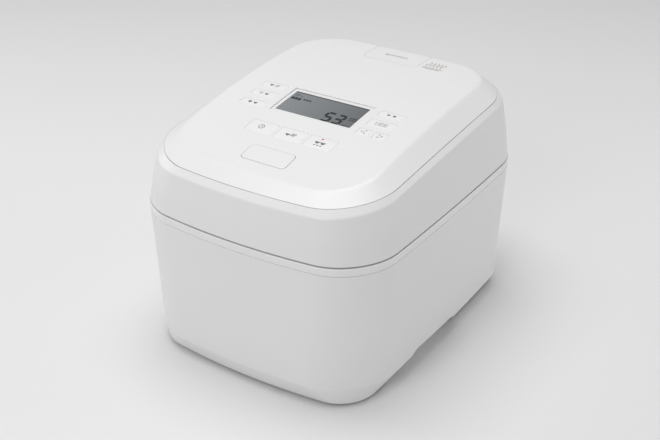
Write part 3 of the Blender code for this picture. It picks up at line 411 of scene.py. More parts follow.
def grey_polypropylene():
    """Glass-filled polypropylene for hidden mouldings: flat grey with a coarse, dull grain."""
    return grained("grey_filled_polypropylene", "#8C8E91", "#7F8184", 0.58, 0.8 * MM, 0.012 * MM)


def black_nylon():
    """Glass-filled nylon: near black, dull, faintly mottled by the fibres."""
    return grained("black_glass_filled_nylon", "#26272A", "#1D1E20", 0.52, 0.9 * MM, 0.012 * MM)


def foot_rubber():
    """Moulded nitrile rubber: dark, very dull, finely pitted."""
    return grained("grey_nitrile_rubber", "#4A4B4D", "#3F4042", 0.85, 0.6 * MM, 0.02 * MM, ior=1.52)


def seal_silicone():
    """Translucent milky silicone: soft, pale, slightly glossy where it is wet moulded."""
    material = grained("milky_silicone", "#DADAD6", "#CFCFCB", 0.42, 1.0 * MM, 0.006 * MM, ior=1.41)
    shader = material.node_tree.nodes["Principled BSDF"]
    shader.inputs["Subsurface Weight"].default_value = 0.25
    shader.inputs["Subsurface Scale"].default_value = 2 * MM
    return material


def pressed_steel():
    """Pressed stainless sheet with a fine linear brushing left by the polishing belt."""
    # Brush lines are about 0.05 mm apart. They are drawn 0.5 mm apart and 40 times as long.
    return grained("brushed_stainless_steel", "#C9CACC", "#BFC0C3", 0.27, 0.5 * MM, 0.002 * MM,
                   metallic=1.0, stretch=(1, 0.025, 1), spread=0.09)


def bright_steel():
    """Drawn and tumbled steel wire and pins: bright, with faint draw marks."""
    return grained("drawn_spring_steel", "#B9BABD", "#A9AAAD", 0.24, 0.4 * MM, 0.003 * MM, metallic=1.0)


def mill_aluminium():
    """Extruded aluminium: pale, with soft die lines."""
    return grained("extruded_aluminium", "#D6D7D9", "#CBCCCF", 0.36, 0.6 * MM, 0.004 * MM,
                   metallic=1.0, stretch=(1, 1, 0.04), spread=0.08)


def enamelled_copper():
    """Stranded copper under clear lacquer: warm metal with fine strands round the winding."""
    return grained("lacquered_litz_copper", "#B8683A", "#9C5228", 0.30, 0.8 * MM, 0.06 * MM,
                   metallic=1.0, coat=0.6)


def sintered_ferrite():
    """Sintered ferrite: dark, stony, with open pores."""
    return grained("sintered_ferrite", "#3B3C40", "#2B2C2F", 0.55, 1.4 * MM, 0.05 * MM, ior=2.0)


def pot_coating():
    """Fluoropolymer non-stick coating over blasted metal: charcoal with a mineral fleck."""
    material = grained("flecked_non_stick_coating", "#3A3A3C", "#2F2F31", 0.40, 0.7 * MM, 0.02 * MM,
                       ior=1.38)
    shader = material.node_tree.nodes["Principled BSDF"]
    # The flecks of mineral are about 0.8 mm across and stand some 4 mm apart.
    place = add(material, 'ShaderNodeTexCoord')
    cells = add(material, 'ShaderNodeTexVoronoi', {"Vector": (place, "Object"), "Scale": 1 / (4 * MM)})
    spot = add(material, 'ShaderNodeMapRange',
               {"Value": (cells, "Distance"), "From Min": 0.08, "From Max": 0.14,
                "To Min": 1.0, "To Max": 0.0})
    base = shader.inputs["Base Color"].links[0].from_node
    flecked = add(material, 'ShaderNodeMix', {0: (spot, 0), 6: (base, 2), 7: srgb("#8E8B86")},
                  data_type='RGBA')
    feed(material, shader, "Base Color", flecked, 2)
    return material


def circuit_board():
    """Glass epoxy board under green solder mask: copper tracks show as paler lines."""
    material = grained("green_solder_mask", "#2E6B45", "#255A39", 0.38, 1.5 * MM, 0.02 * MM, coat=0.4)
    shader = material.node_tree.nodes["Principled BSDF"]
    # Tracks lie on a 3 mm pitch.
    place = add(material, 'ShaderNodeTexCoord')
    tracks = add(material, 'ShaderNodeTexBrick',
                 {"Vector": (place, "Object"), "Scale": 1 / (6 * MM), "Mortar Size": 0.06,
                  "Color1": srgb("#2E6B45"), "Color2": srgb("#2A6340"), "Mortar": srgb("#4E9468")})
    feed(material, shader, "Base Color", tracks, 0)
    return material


def display_glass():
    """Liquid crystal cell behind a polished window: neutral grey, mirror-smooth face, with painted shade that
    darkens it from left to right.
    """
    material, shader = new_material("grey_liquid_crystal")
    place = add(material, 'ShaderNodeTexCoord')
    split = add(material, 'ShaderNodeSeparateXYZ', {"Vector": (place, "Object")})
    # Painted shade: the grey darkens steadily from the crystal's left edge to its right, copying how the
    # light falls across the window.
    painted_shade_ramp = add(material, 'ShaderNodeMapRange',
               {"Value": (split, "X"), "From Min": -42 * MM, "From Max": 42 * MM,
                "To Min": 0.0, "To Max": 1.0})
    haze = add(material, 'ShaderNodeTexNoise',
               {"Vector": (place, "Object"), "Scale": 1 / (0.5 * MM), "Detail": 1.0})
    mix = add(material, 'ShaderNodeMix', {0: (painted_shade_ramp, 0), 6: srgb("#84888B"), 7: srgb("#65696C")},
              data_type='RGBA')
    feed(material, shader, "Base Color", mix, 2)
    gloss = add(material, 'ShaderNodeMapRange', {"Value": (haze, 0), "To Min": 0.12, "To Max": 0.2})
    feed(material, shader, "Roughness", gloss)
    shader.inputs["IOR"].default_value = 1.49
    return material


def ink(name, colour):
    """Screen-printed ink: flat colour, slightly uneven where the mesh pressed it down."""
    return grained(name, colour, colour, 0.5, 0.25 * MM, 0.001 * MM, blotch=5 * MM)


MATERIALS = {
    "satin": satin_white(), "panel": panel_white(), "gloss": gloss_white(), "key": key_white(),
    "grey": grey_polypropylene(), "black": black_nylon(), "rubber": foot_rubber(),
    "silicone": seal_silicone(), "pressed": pressed_steel(), "steel": bright_steel(),
    "aluminium": mill_aluminium(), "copper": enamelled_copper(), "ferrite": sintered_ferrite(),
    "pot": pot_coating(), "board": circuit_board(), "display": display_glass(),
    "legend": ink("grey_legend_ink", "#6C6D70"), "segment": ink("dark_display_segment", "#08090A"),
    "ghost": ink("faint_display_segment", "#303336"), "lamp": ink("red_lamp_lens", "#B4231C"),
    # rim is dark ink for the painted shadow along the display crystal's edges.
    "steam_mark": ink("warm_grey_mark_ink", "#8A7D74"), "rim": ink("painted_shadow_rim_ink", "#2C2F31"),
    "level": ink("pale_grey_level_ink", "#A9AAAC"),
}


def finished(piece, material, body, slot, *nodes):
    """Give a piece its material and body, and hide the nodes that it stands for. The slot is not used."""
    piece.data.materials.clear()
    piece.data.materials.append(MATERIALS[material])
    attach(piece, body)
    if nodes:
        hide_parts(*nodes)
    return piece


# ---------------------------------------------------------------- base
WALL = 2.4 * MM
# The finger recess in each side: heights of its top along Y, and how far its inner wall is from the middle.
RECESS_TOP = (np.array([-96, -92, -76, -68, 14, 21, 33, 37]) * MM,
              np.array([0, 3.2, 21.6, 23.6, 21.6, 19.5, 3.2, 0]) * MM)
RECESS_INNER = 105.5 * MM
DECK_OPENING = 103.3 * MM       # radius of the hole that the pot hangs in


def wall_at(height, bottom, crease, top):
    """Points on the base's outside at a height for each place round it, between three rings."""
    height = height[:, None]
    low_share = (height - bottom[:, 2:]) / (crease[:, 2:] - bottom[:, 2:])
    high_share = (height - crease[:, 2:]) / (top[:, 2:] - crease[:, 2:])
    lower = bottom + (crease - bottom) * low_share
    upper = crease + (top - crease) * high_share
    return np.where(height < crease[:, 2:], lower, upper)


def make_body_shell():
    """The base's wall and bottom chamfer with a finger recess in each side.

    Where a recess is, the path down the wall stops at the recess's top, turns in to its
    inner wall and goes down that. The top follows a smoothed line of heights along Y.
    """
    bottom, crease, top = ring(BOTTOM_EDGE), ring(CHAMFER_TOP), ring(WALL_TOP)
    y = bottom[:, 1] - BODY_Y
    on_side = np.abs(bottom[:, 0]) > 100 * MM
    heights = np.zeros_like(y)
    for shift in np.linspace(-3, 3, 7) * MM:
        heights += np.interp(y + shift, *RECESS_TOP) / 7
    ceiling = np.where(on_side, np.maximum(heights, BOTTOM_EDGE.height), BOTTOM_EDGE.height)
    inside = (ceiling > BOTTOM_EDGE.height + 0.1 * MM)[:, None]
    lip = wall_at(ceiling, bottom, crease, top)
    shoulder = wall_at(np.maximum(ceiling + 2.5 * MM, CHAMFER_TOP.height), bottom, crease, top)
    side = np.sign(bottom[:, :1])

    def recess_point(x, z):
        """The ring's points moved to a place across and to a height."""
        return np.column_stack([side[:, 0] * x, bottom[:, 1], z])

    floor = np.full(len(y), BOTTOM_EDGE.height)
    edge_in = ring(BOTTOM_EDGE, inset=1.2 * MM)
    edge_back = ring(BOTTOM_EDGE, inset=WALL)
    rings = [
        ring(WALL_TOP, inset=WALL),
        top,
        0.5 * (top + crease),
        shoulder,
        lip,
        np.where(inside, recess_point(RECESS_INNER, ceiling), edge_in),
        np.where(inside, recess_point(RECESS_INNER, floor), edge_back),
        np.where(inside, recess_point(RECESS_INNER - WALL, floor), ring(BOTTOM_EDGE, inset=WALL + 0.3 * MM)),
        np.where(inside, recess_point(RECESS_INNER - WALL, ceiling + WALL),
                 ring(BOTTOM_EDGE, inset=WALL, drop=-1 * MM)),
        np.where(inside, wall_at(ceiling + WALL, bottom, crease, top) * (0.975, 1, 1),
                 ring(CHAMFER_TOP, inset=WALL, drop=2 * MM)),
        ring(CHAMFER_TOP, inset=WALL, drop=-9 * MM),
    ]
    trims = [0, 0.5 * MM, 0, 0.5 * MM, 1.0 * MM, 1.2 * MM, 0, 0, 0, 0, 0]
    shell = skin("body_shell_moulding", rounded(rings, trims, closed=True), sharp=50)
    return finished(shell, "satin", "base", "white_satin", "body_shell")


def make_shoulder_ring():
    """The polished band below the seam and the deck round the pot's opening."""
    top = ring(BAND_TOP)
    rings = [
        ring(BAND_FOOT),
        top,
        ring(BAND_TOP, inset=5 * MM),
        ring(BAND_TOP, inset=6.5 * MM, drop=BAND_TOP.height - DECK),
        pot_ring(DECK_OPENING + 8 * MM, DECK, top),
        pot_ring(DECK_OPENING, DECK, top),
        pot_ring(DECK_OPENING, DECK - 3.6 * MM, top),
        pot_ring(DECK_OPENING + 2 * MM, DECK - 3.6 * MM, top),
        pot_ring(DECK_OPENING + 8 * MM, DECK - 2.3 * MM, top),
        ring(BAND_FOOT, inset=8 * MM, drop=BAND_FOOT.height - DECK + 2.3 * MM),
        ring(BAND_FOOT, inset=WALL),
    ]
    trims = [0.4 * MM, 1.3 * MM, 0.7 * MM, 1.0 * MM, 0, 0.8 * MM, 0.3 * MM, 0, 0, 0, 0]
    band = skin("shoulder_band_and_deck", rounded(rings, trims, closed=True))
    carve(band, latch_way(node_box("latch_hook")[0][1] + 5.1 * MM, DECK - 12 * MM, DECK + 12 * MM))
    return finished(band, "gloss", "base", "white_gloss", "shoulder_ring")


# ---------------------------------------------------------------- lid
def make_lid_frame():
    """The lid's side wall: it leans in, rolls over a soft crease and ends at the panel's seam."""
    rings = [
        ring(LID_FOOT, inset=WALL),
        ring(LID_FOOT),
        ring(LID_MIDDLE),
        ring(LID_CREASE),
        ring(PANEL_EDGE),
        ring(PANEL_EDGE, inset=0.05 * MM, drop=0.45 * MM),
        ring(PANEL_EDGE, inset=0.34 * MM, drop=0.5 * MM),
        ring(PANEL_EDGE, inset=1.5 * MM, drop=3.4 * MM),
        ring(LID_CREASE, inset=WALL, drop=0.8 * MM),
        ring(LID_MIDDLE, inset=WALL),
    ]
    trims = [0, 0.6 * MM, 14 * MM, 1.3 * MM, 0.3 * MM, 0, 0, 0, 0, 0]
    wall = skin("lid_side_moulding", rounded(rings, trims, closed=True))
    return finished(wall, "satin", "lid", "white_satin", "lid_frame")


def panel_surface(drop=0.0, inset=0.0):
    """Rings over the panel: up the sloping border, round the plateau's edge, to its middle."""
    rings = [
        ring(PANEL_EDGE, inset=0.38 * MM + inset, drop=drop - 0.1 * MM),
        ring(PLATEAU_EDGE, inset=inset * 0.6, drop=drop),
    ]
    rings += [ring(PLATEAU_EDGE, drop=drop, scale=scale) for scale in (0.9, 0.02)]
    trims = [0, 2.4 * MM, 0, 0]
    rows = rounded(rings, trims)
    spread = [ring(PLATEAU_EDGE, drop=drop, scale=s) for s in np.linspace(0.88, 0.04, 30)]
    return rows[:-1] + spread


def block_ring(centre, half, corner, height, inset=0.0, scale=1.0, dome=0.0):
    """A small round-cornered outline at a height over the plateau, inset and then scaled about its middle.

    The dome adds its height times one less the square of the place across, in x and in y.
    """
    half_x, half_y = half[0] - inset, half[1] - inset
    corner = max(corner - inset, 0.1 * MM)
    loop = outline(half_x, half_y, corner, BLOCK_SIDE_POINTS, BLOCK_CORNER_POINTS) * scale
    x = centre[0] + loop[:, 0]
    y = centre[1] + loop[:, 1]
    swell = dome * (1 - (loop[:, 0] / half_x) ** 2) * (1 - (loop[:, 1] / half_y) ** 2)
    return np.stack([x, y + BODY_Y, plateau_height(y) + height + swell], axis=1)


def plateau_block(name, place, corner, foot, lip, top, slope, dome=0.0):
    """A key or cap that follows the plateau, up from its foot to a lip, over a slope, to a domed top.

    foot, lip and top are heights over the plateau, and slope is how wide the sloping edge is.
    """
    centre, half = (place.x, place.y), (place.half_x, place.half_y)
    rings = [
        block_ring(centre, half, corner, foot, scale=0.02),
        block_ring(centre, half, corner, foot),
        block_ring(centre, half, corner, lip),
        block_ring(centre, half, corner, top, inset=slope),
        block_ring(centre, half, corner, top, inset=slope, scale=0.85, dome=dome),
    ]
    rows = rounded(rings, [0, 0, 0.25 * MM, slope * 0.4, 0])
    rows += [block_ring(centre, half, corner, top, inset=slope, scale=share, dome=dome)
             for share in (0.7, 0.5, 0.3, 0.03)]
    return skin(name, rows, 'POLES', sharp=60)


def hole_cutter(place, grow, corner, depth=14 * MM, rise=14 * MM):
    """A solid with a place's outline, grown all round, from depth below the plateau to rise above it."""
    centre, half = (place.x, place.y), (place.half_x + grow, place.half_y + grow)
    rings = [block_ring(centre, half, corner, -depth, scale=0.02), block_ring(centre, half, corner, -depth),
             block_ring(centre, half, corner, rise), block_ring(centre, half, corner, rise, scale=0.02)]
    return skin("cutter", rings, 'POLES')


Place = namedtuple("Place", "node x y half_x half_y")
KEY_PLACES = (                  # name, middle across and behind the body's middle, half sizes, mm
    ("timer", -33.0, -74.0, 14.5, 9.0),
    ("keep_warm", -0.5, -74.0, 14.5, 9.0),
    ("cook", 32.0, -74.0, 14.5, 9.0),
    ("left_rear", -67.0, -5.0, 13.5, 5.0),
    ("left_middle", -67.0, -22.5, 13.5, 5.0),
    ("left_front", -67.0, -41.0, 13.5, 5.0),
    ("right_rear", 66.0, -6.0, 13.5, 5.0),
    ("menu", 66.0, -24.0, 14.0, 6.0),
    ("back", 57.5, -41.5, 6.75, 5.25),
    ("forward", 75.0, -42.0, 6.75, 5.25),
)
KEYS = tuple(Place(f"key_{name}", *(measure * MM for measure in place)) for name, *place in KEY_PLACES)
BUTTON = Place("open_button", 0.0, -109.8 * MM, 24 * MM, 10.5 * MM)
WINDOW = Place("display_lens", 0.0, -21.5 * MM, 45.3 * MM, 22.5 * MM)
CRYSTAL = Place("lcd_module", 0.0, -21.7 * MM, 41.5 * MM, 18.8 * MM)
CAP = Place("steam_cap", 0.0, 123.25 * MM, 31 * MM, 23.75 * MM)
CAP_SLOT = Place("steam_slot", 0.0, 116.0 * MM, 12.8 * MM, 2.3 * MM)
HAIR = 0.12 * MM                # the seam round a key
GROOVE = 0.3 * MM               # the seam round the button, the window and the steam cap


PANEL_THICK, PANEL_RIM = 2.2 * MM, 1.5 * MM


def make_top_panel():
    """The lid's top: a sloping border and a crowned plateau, pierced for all that sits in it."""
    outside = panel_surface()
    inside = panel_surface(drop=PANEL_THICK, inset=PANEL_RIM)
    panel = skin("lid_top_panel", outside[::-1] + inside, 'POLES')
    cutters = [hole_cutter(key, HAIR, 1.55 * MM) for key in KEYS]
    cutters.append(hole_cutter(BUTTON, 0.42 * MM, 4.5 * MM))
    cutters.append(hole_cutter(WINDOW, GROOVE, 1.0 * MM))
    cutters.append(hole_cutter(CAP, GROOVE, 5.3 * MM, depth=60 * MM))
    carve(panel, *cutters)
    return finished(panel, "panel", "lid", "white_satin", "top_panel")


def is_big(key):
    """Whether a key is one of the three wide ones in front of the window."""
    return key.half_y > 7 * MM


def key_shape(key):
    """How wide a key's sloping edge is, how proud its top stands and how far the top domes."""
    return (1.5 * MM, 0.28 * MM, 0.4 * MM) if is_big(key) else (0.9 * MM, 0.05 * MM, 0.15 * MM)


def make_keys():
    """Ten pillowed caps. The three big ones stand a little prouder than the seven small ones."""
    for key in KEYS:
        slope, top, dome = key_shape(key)
        lip = 0.0 if is_big(key) else -0.08 * MM
        cap = plateau_block(f"{key.node}_cap", key, 1.5 * MM, -3.6 * MM, lip, top, slope, dome)
        finished(cap, "key", key.node, "white_satin", key.node)


def make_open_button():
    """The wide button that opens the lid, with the round stem that pushes the latch."""
    cap = plateau_block("open_button_cap", BUTTON, 4.1 * MM, -4.0 * MM, 0.25 * MM, 0.5 * MM, 0.7 * MM,
                        0.1 * MM)
    stem_y = BODY_Y + BUTTON.y + 1.0 * MM
    high = plateau_height(BUTTON.y) - 3 * MM
    low = high - 15.2 * MM
    stem_profile = [(0.1 * MM, high), (3 * MM, high), (3 * MM, low), (0.1 * MM, low)]
    stem = turned("open_button_stem", stem_profile, [0, 0, 0.5 * MM, 0], stem_y, closed=False, steps=32,
                  sharp=40)
    finished(cap, "panel", "open_button", "white_satin", "open_button")
    finished(stem, "grey", "open_button", "grey_plastic")


# ---------------------------------------------------------------- display and print
PRINT = 0.03 * MM               # how far print stands off its surface, and reaches into it
CRYSTAL_DROP = 1.3 * MM         # how far the display lies below the panel
PRINT_LINE = 0.75 * MM          # the stroke of wisps and arrows


def on_key(key):
    """The height of a key's domed top at a place on it, from the middle of the body."""
    slope, top, dome = key_shape(key)

    def height(x, y):
        across = 1 - ((x - key.x) / (key.half_x - slope)) ** 2
        along = 1 - ((y - key.y) / (key.half_y - slope)) ** 2
        return plateau_height(y) + top + dome * across * along
    return height


def on_crystal(_x, y):
    """The height of the sunk display's face at a place on it."""
    return plateau_height(y) - CRYSTAL_DROP


def stroke(points, width, closed=False):
    """The outline of a line of a stated width along some points, as one or two loops joined.

    Each point moves half the width to either side, along the mean of the normals beside it.
    """
    points = np.asarray(points, float)
    if closed:
        points = np.concatenate([points, points[:1]])
    ahead = unit(np.diff(points, axis=0))
    if closed:
        before, after = np.concatenate([ahead[-1:], ahead]), np.concatenate([ahead, ahead[:1]])
    else:
        before, after = np.concatenate([ahead[:1], ahead]), np.concatenate([ahead, ahead[-1:]])
    mean = unit(before + after)
    normal = np.stack([-mean[:, 1], mean[:, 0]], axis=1)
    reach = width / 2 / np.maximum(np.sum(mean * after, axis=1, keepdims=True), 0.4)
    return points + normal * reach, points - normal * reach


def printed(name, shapes, height, material, body, slot):
    """Thin print on a surface. Each shape is a pair of edges, and its ink fills the strip between them."""
    points, faces = [], []
    for left, right in shapes:
        count = len(left)
        flat = np.concatenate([left, right])
        z = height(flat[:, 0], flat[:, 1])
        start = sum(len(p) for p in points)
        for lift in (PRINT, -PRINT):
            points.append(np.column_stack([flat[:, 0], flat[:, 1] + BODY_Y, z + lift]))
        here = start + np.arange(count - 1)
        down = 2 * count
        for offsets in ((0, count, count + 1, 1), (down, down + 1, down + count + 1, down + count),
                        (0, 1, down + 1, down), (count, down + count, down + count + 1, count + 1)):
            faces.append(here[:, None] + offsets)
        first, last = start, start + count - 1
        faces.append([[first, first + down, first + down + count, first + count]])
        faces.append([[last, last + count, last + down + count, last + down]])
    made = mesh_object(name, np.concatenate(points), np.concatenate(faces).tolist(),
                       sharp=FLAT_SHARP)
    face_outwards(made, merge=True)
    return finished(made, material, body, slot)


def block(x, y, width, height):
    """A filled box of print about a middle, as a pair of edges."""
    left = np.array([[x - width / 2, y - height / 2], [x - width / 2, y + height / 2]]) * MM
    return left + (width * MM, 0), left


def line(*points, width=0.45):
    """A printed line through points, in millimetres."""
    return stroke(np.array(points) * MM, width * MM)


def disc(x, y, radius, start=0, stop=360):
    """Part of a filled disc: an arc for one edge and a tiny arc at its middle for the other."""
    middle = (x * MM, y * MM)
    return arc(middle, radius * MM, start, stop, 17), arc(middle, radius * 0.02 * MM, start, stop, 17)


def hoop(x, y, radius, width=0.45, start=0, stop=360):
    """Part of a circle's line."""
    return (arc((x * MM, y * MM), (radius + width / 2) * MM, start, stop, 25),
            arc((x * MM, y * MM), (radius - width / 2) * MM, start, stop, 25))


def bowl(x, y, size):
    """A rice bowl: half a disc on a short foot under a line."""
    return [disc(x, y, size / 2, 180, 360), block(x, y - size / 2 - 0.1, size * 0.4, 0.4),
            line((x - size * 0.62, y + 0.3), (x + size * 0.62, y + 0.3))]


def wisp(x, y, size):
    """A rising wisp of steam: one wave of a sine, stood upright."""
    up = np.linspace(-0.5, 0.5, 13)
    path = np.stack([x + 0.16 * size * np.sin(2 * math.pi * up), y + size * up], axis=1) * MM
    return stroke(path, PRINT_LINE)


def arrow(x, y, size, point):
    """The outline of a triangle that points left (-1) or right (+1)."""
    corners = np.array([[x + point * size * 0.5, y], [x - point * size * 0.4, y + size * 0.5],
                        [x - point * size * 0.4, y - size * 0.5]]) * MM
    return stroke(corners, PRINT_LINE, closed=True)


# The key legends are plain pictures, in millimetres from the middle of each key.
LEGENDS = {
    "key_left_rear": [*bowl(-3.2, 0.5, 4.0), wisp(2.4, 0.0, 4.0), wisp(4.2, 0.0, 4.0)],
    "key_left_middle": [hoop(-3.4, 0.0, 1.4, 0.6), *bowl(3.0, 0.5, 4.0)],
    "key_left_front": [disc(-3.4, 0.0, 1.8), *bowl(3.0, 0.5, 4.0)],
    "key_timer": [hoop(0.0, 0.0, 2.8, 0.7), line((0.0, 1.8), (0.0, 0.0), (1.5, -0.5), width=0.6)],
    "key_keep_warm": [*bowl(-2.6, -0.2, 4.4), *(wisp(x, 0.0, 4.4) for x in (1.6, 3.2, 4.8))],
    "key_cook": [*bowl(-2.8, 0.2, 4.8), *bowl(3.0, 0.2, 4.8),
                 *(block(x, -4.6, 2.0, 1.1) for x in (-3.6, -0.4, 2.8))],
    "key_right_rear": [block(-3.2, 0.0, 2.8, 2.4), disc(3.0, 0.0, 1.6)],
    "key_menu": [*(line((-4.0, y), (6.0, y), width=0.6) for y in (1.9, 0.0, -1.9)),
                 *(block(-6.0, y, 1.2, 0.8) for y in (1.9, 0.0, -1.9))],
    "key_back": [arrow(0.0, 0.0, 5.2, -1)],
    "key_forward": [arrow(0.0, 0.0, 5.2, 1)],
}


def make_legends():
    """Each key's picture, moved to the key and laid on its dome."""
    for key in KEYS:
        shapes = [(left + (key.x, key.y), right + (key.x, key.y)) for left, right in LEGENDS[key.node]]
        printed(f"{key.node}_legend", shapes, on_key(key), "legend", key.node, "black_plastic")


def make_cook_lamp():
    """The red lamp that shows through the cook key: a low lens behind the legend."""
    cook = KEYS[2]
    x, y = cook.x - 1 * MM, cook.y + 5.6 * MM
    z = on_key(cook)(x, y)
    profile = [(0.02 * MM, z + 0.22 * MM), (0.7 * MM, z + 0.17 * MM), (1.1 * MM, z + 0.06 * MM),
               (1.12 * MM, z - 0.5 * MM), (0.02 * MM, z - 0.5 * MM)]
    lens = turned("cook_lamp_lens", profile, [0] * 5, y + BODY_Y, x, closed=False, steps=24)
    finished(lens, "lamp", cook.node, "lens")


def make_display():
    """The window in the panel: a pale border round a sunk grey liquid crystal."""
    border = plateau_block("display_window_border", WINDOW, 0.8 * MM, -1.9 * MM, -0.85 * MM, -0.75 * MM,
                           0.4 * MM)
    carve(border, hole_cutter(CRYSTAL, 0.0, 0.6 * MM))
    finished(border, "gloss", "lid", "lens", "display_lens")
    glass = plateau_block("liquid_crystal_glass", CRYSTAL._replace(half_x=42.1 * MM, half_y=19.4 * MM),
                          0.6 * MM, -5.5 * MM, -CRYSTAL_DROP, -CRYSTAL_DROP, 0.3 * MM)
    finished(glass, "display", "lid", "display_glass", "lcd_module")


SEGMENT = 2.9                   # thickness of a digit's bars, mm
DIGIT_WIDE, DIGIT_TALL = 7.6, 14.8
SEGMENTS = {
    "top": ((-1, 1), (1, 1)), "middle": ((-1, 0), (1, 0)), "bottom": ((-1, -1), (1, -1)),
    "left_high": ((-1, 0), (-1, 1)), "right_high": ((1, 0), (1, 1)),
    "left_low": ((-1, -1), (-1, 0)), "right_low": ((1, -1), (1, 0)),
}


def digit(x, y, lit):
    """The bars of a seven-bar digit, sheared a little to the right, with a gap at each joint."""
    shapes = []
    for bar in lit:
        start, end = (np.array(point) for point in SEGMENTS[bar])
        along = (end - start) * 0.11 / np.abs(end - start).max()
        ends = np.array([start + along, end - along]) * (DIGIT_WIDE / 2, DIGIT_TALL / 2)
        ends[:, 0] += 0.1 * ends[:, 1]
        shapes.append(line(*(ends + (x, y)), width=SEGMENT))
    return shapes


def make_display_marks():
    """What the display shows: two large digits and boxes that stand for its small signs, with a painted
    shadow along the crystal's rear, left and right edges.
    """
    five = digit(12.4, -31.2, ("top", "left_high", "middle", "right_low", "bottom"))
    three = digit(24.0, -31.2, ("top", "right_high", "middle", "right_low", "bottom"))
    dark = five + three + [block(x, -15.0, 3.0, 4.2) for x in (-38.4, -34.7, -31.0)]
    dark += [block(32.6, -38.0, 1.6, 1.4), block(-32.0, -9.0, 1.6, 1.2)]
    printed("display_dark_segments", dark, on_crystal, "segment", "lid", "black_plastic")
    faint = [block(x, y, 2.1, 2.2) for x in (33.6, 36.4, 39.0) for y in (-24.4, -27.6)]
    faint += [block(x, -14.0, 2.4, 2.8) for x in (-25.8, -22.6, -19.4)]
    faint += [block(x, y, 1.3, 1.1) for x in (-39.4, -37.4, -35.4) for y in (-7.4, -9.6)]
    faint += [block(x, -38.0, 1.4, 1.4) for x in (34.8, 37.0)]
    printed("display_faint_segments", faint, on_crystal, "ghost", "lid", "black_plastic")
    # Painted shadow: dark bands along the crystal's rear, left and right edges, where the window's walls
    # shade it.
    rim = [block(0.0, -3.5, 83.0, 1.2), block(-41.0, -21.7, 1.0, 37.6), block(41.0, -21.7, 1.0, 37.6)]
    printed("display_painted_shadow_rim", rim, on_crystal, "rim", "lid", "black_plastic")


def make_steam_mark():
    """A plain picture beside the steam cap: three wisps over a line, for hot steam."""
    shapes = [wisp(x, 115.0, 11.0) for x in (38.5, 42.5, 46.5, 50.5, 54.5)]
    shapes += [line((35.5, 106.0), (57.5, 106.0), width=0.9), line((37.5, 103.5), (55.5, 103.5), width=0.9)]
    printed("steam_mark", shapes, lambda x, y: plateau_height(y), "steam_mark", "lid", "black_plastic")


# ---------------------------------------------------------------- steam cap
CAP_FLOOR = 190 * MM            # the cap is cut from a solid that reaches down to here
CAP_HOLES = (-9.0, -4.5, 0.0, 4.5, 9.0)


def make_steam_cap():
    """The lift-off cap: its top is the panel's own surface, with a shallow slot over a row of steam holes."""
    outside = panel_surface()
    floor = outside[0].copy()
    floor[:, 2] = CAP_FLOOR
    cover = skin("steam_cap_cover", [floor] + outside, 'POLES')
    carve(cover, hole_cutter(CAP, 0.0, 5.0 * MM, depth=24 * MM, rise=30 * MM), operation='INTERSECT')
    hollow = hole_cutter(CAP, -2 * MM, 3.0 * MM, depth=40 * MM, rise=-8 * MM)
    slot = hole_cutter(CAP_SLOT, 0.0, 1.5 * MM, depth=1.5 * MM)
    holes = [hole_cutter(CAP_SLOT._replace(x=x * MM, half_x=1.8 * MM, half_y=1.3 * MM), 0.0, 0.7 * MM)
             for x in CAP_HOLES]
    carve(cover, hollow, slot, *holes)
    return finished(cover, "panel", "steam_cap", "white_satin", "steam_cap")


# ---------------------------------------------------------------- pot and inner lid
BOWL_MIDDLE = 61.5 * MM         # radius where the rounded bottom of the chamber starts
BOWL_WIDE, BOWL_DEEP = 39.5 * MM, 37 * MM
BOWL_TOP = 72 * MM              # height at which the side becomes straight
VALVE_Y = BODY_Y + 58 * MM


def bowl_profile(offset, start=0, stop=90, steps=12):
    """(radius, height) on a quarter ellipse, moved out from the chamber's inside by an offset."""
    angle = np.radians(np.linspace(start, stop, steps))
    return [(BOWL_MIDDLE + (BOWL_WIDE + offset) * math.sin(a), BOWL_TOP - (BOWL_DEEP + offset) * math.cos(a))
            for a in angle]


def make_inner_pot():
    """The lift-out pot: a rounded bowl with a thick rolled rim, and level lines on its wall."""
    rim = POT_HIGH[2]
    flange = (POT_HIGH[0] - POT_LOW[0]) / 2
    inside, outside = bowl_profile(-5 * MM), bowl_profile(-3 * MM)
    profile = [(0.2 * MM, inside[0][1]), *inside, (inside[-1][0], rim - 6 * MM),
               (inside[-1][0] + 1 * MM, rim),
               (flange, rim), (flange, rim - 2.1 * MM), (outside[-1][0], rim - 2.1 * MM), *outside[::-1],
               (0.2 * MM, outside[0][1])]
    trims = [0.8 * MM] * len(profile)
    pot = turned("inner_pot_bowl", profile, trims, POT_Y, closed=False, steps=128, sharp=60)
    finished(pot, "pot", "base", "pot_coating", "inner_pot")
    radius = inside[-1][0] - 0.05 * MM
    marks = [level_mark(radius, height * MM) for height in (76.0, 92.0, 108.0, 124.0)]
    points = np.concatenate([mark[0] for mark in marks])
    count = len(marks[0][0])
    faces = [[i + n * count for i in face] for n in range(len(marks)) for face in marks[0][1]]
    finished(mesh_object("pot_level_lines", points, faces), "level", "base", "pot_coating")


def level_mark(radius, height):
    """A thin printed band on the pot's wall: an arc of 24 degrees, 0.8 mm high, facing the axis."""
    around = np.radians(np.linspace(78, 102, 25))
    x, y = np.cos(around), np.sin(around)
    rows = [np.stack([(radius + out) * x, POT_Y + (radius + out) * y, np.full(len(x), height + up)], axis=1)
            for out, up in ((0, -0.4 * MM), (0, 0.4 * MM), (0.1 * MM, 0.4 * MM), (0.1 * MM, -0.4 * MM))]
    count = len(x)
    faces = [[a * count + i, b * count + i, b * count + i + 1, a * count + i + 1]
             for a, b in ((0, 1), (1, 2), (2, 3), (3, 0)) for i in range(count - 1)]
    faces += [[0, 3 * count, 2 * count, count], [count - 1, 2 * count - 1, 3 * count - 1, 4 * count - 1]]
    return np.concatenate(rows), faces


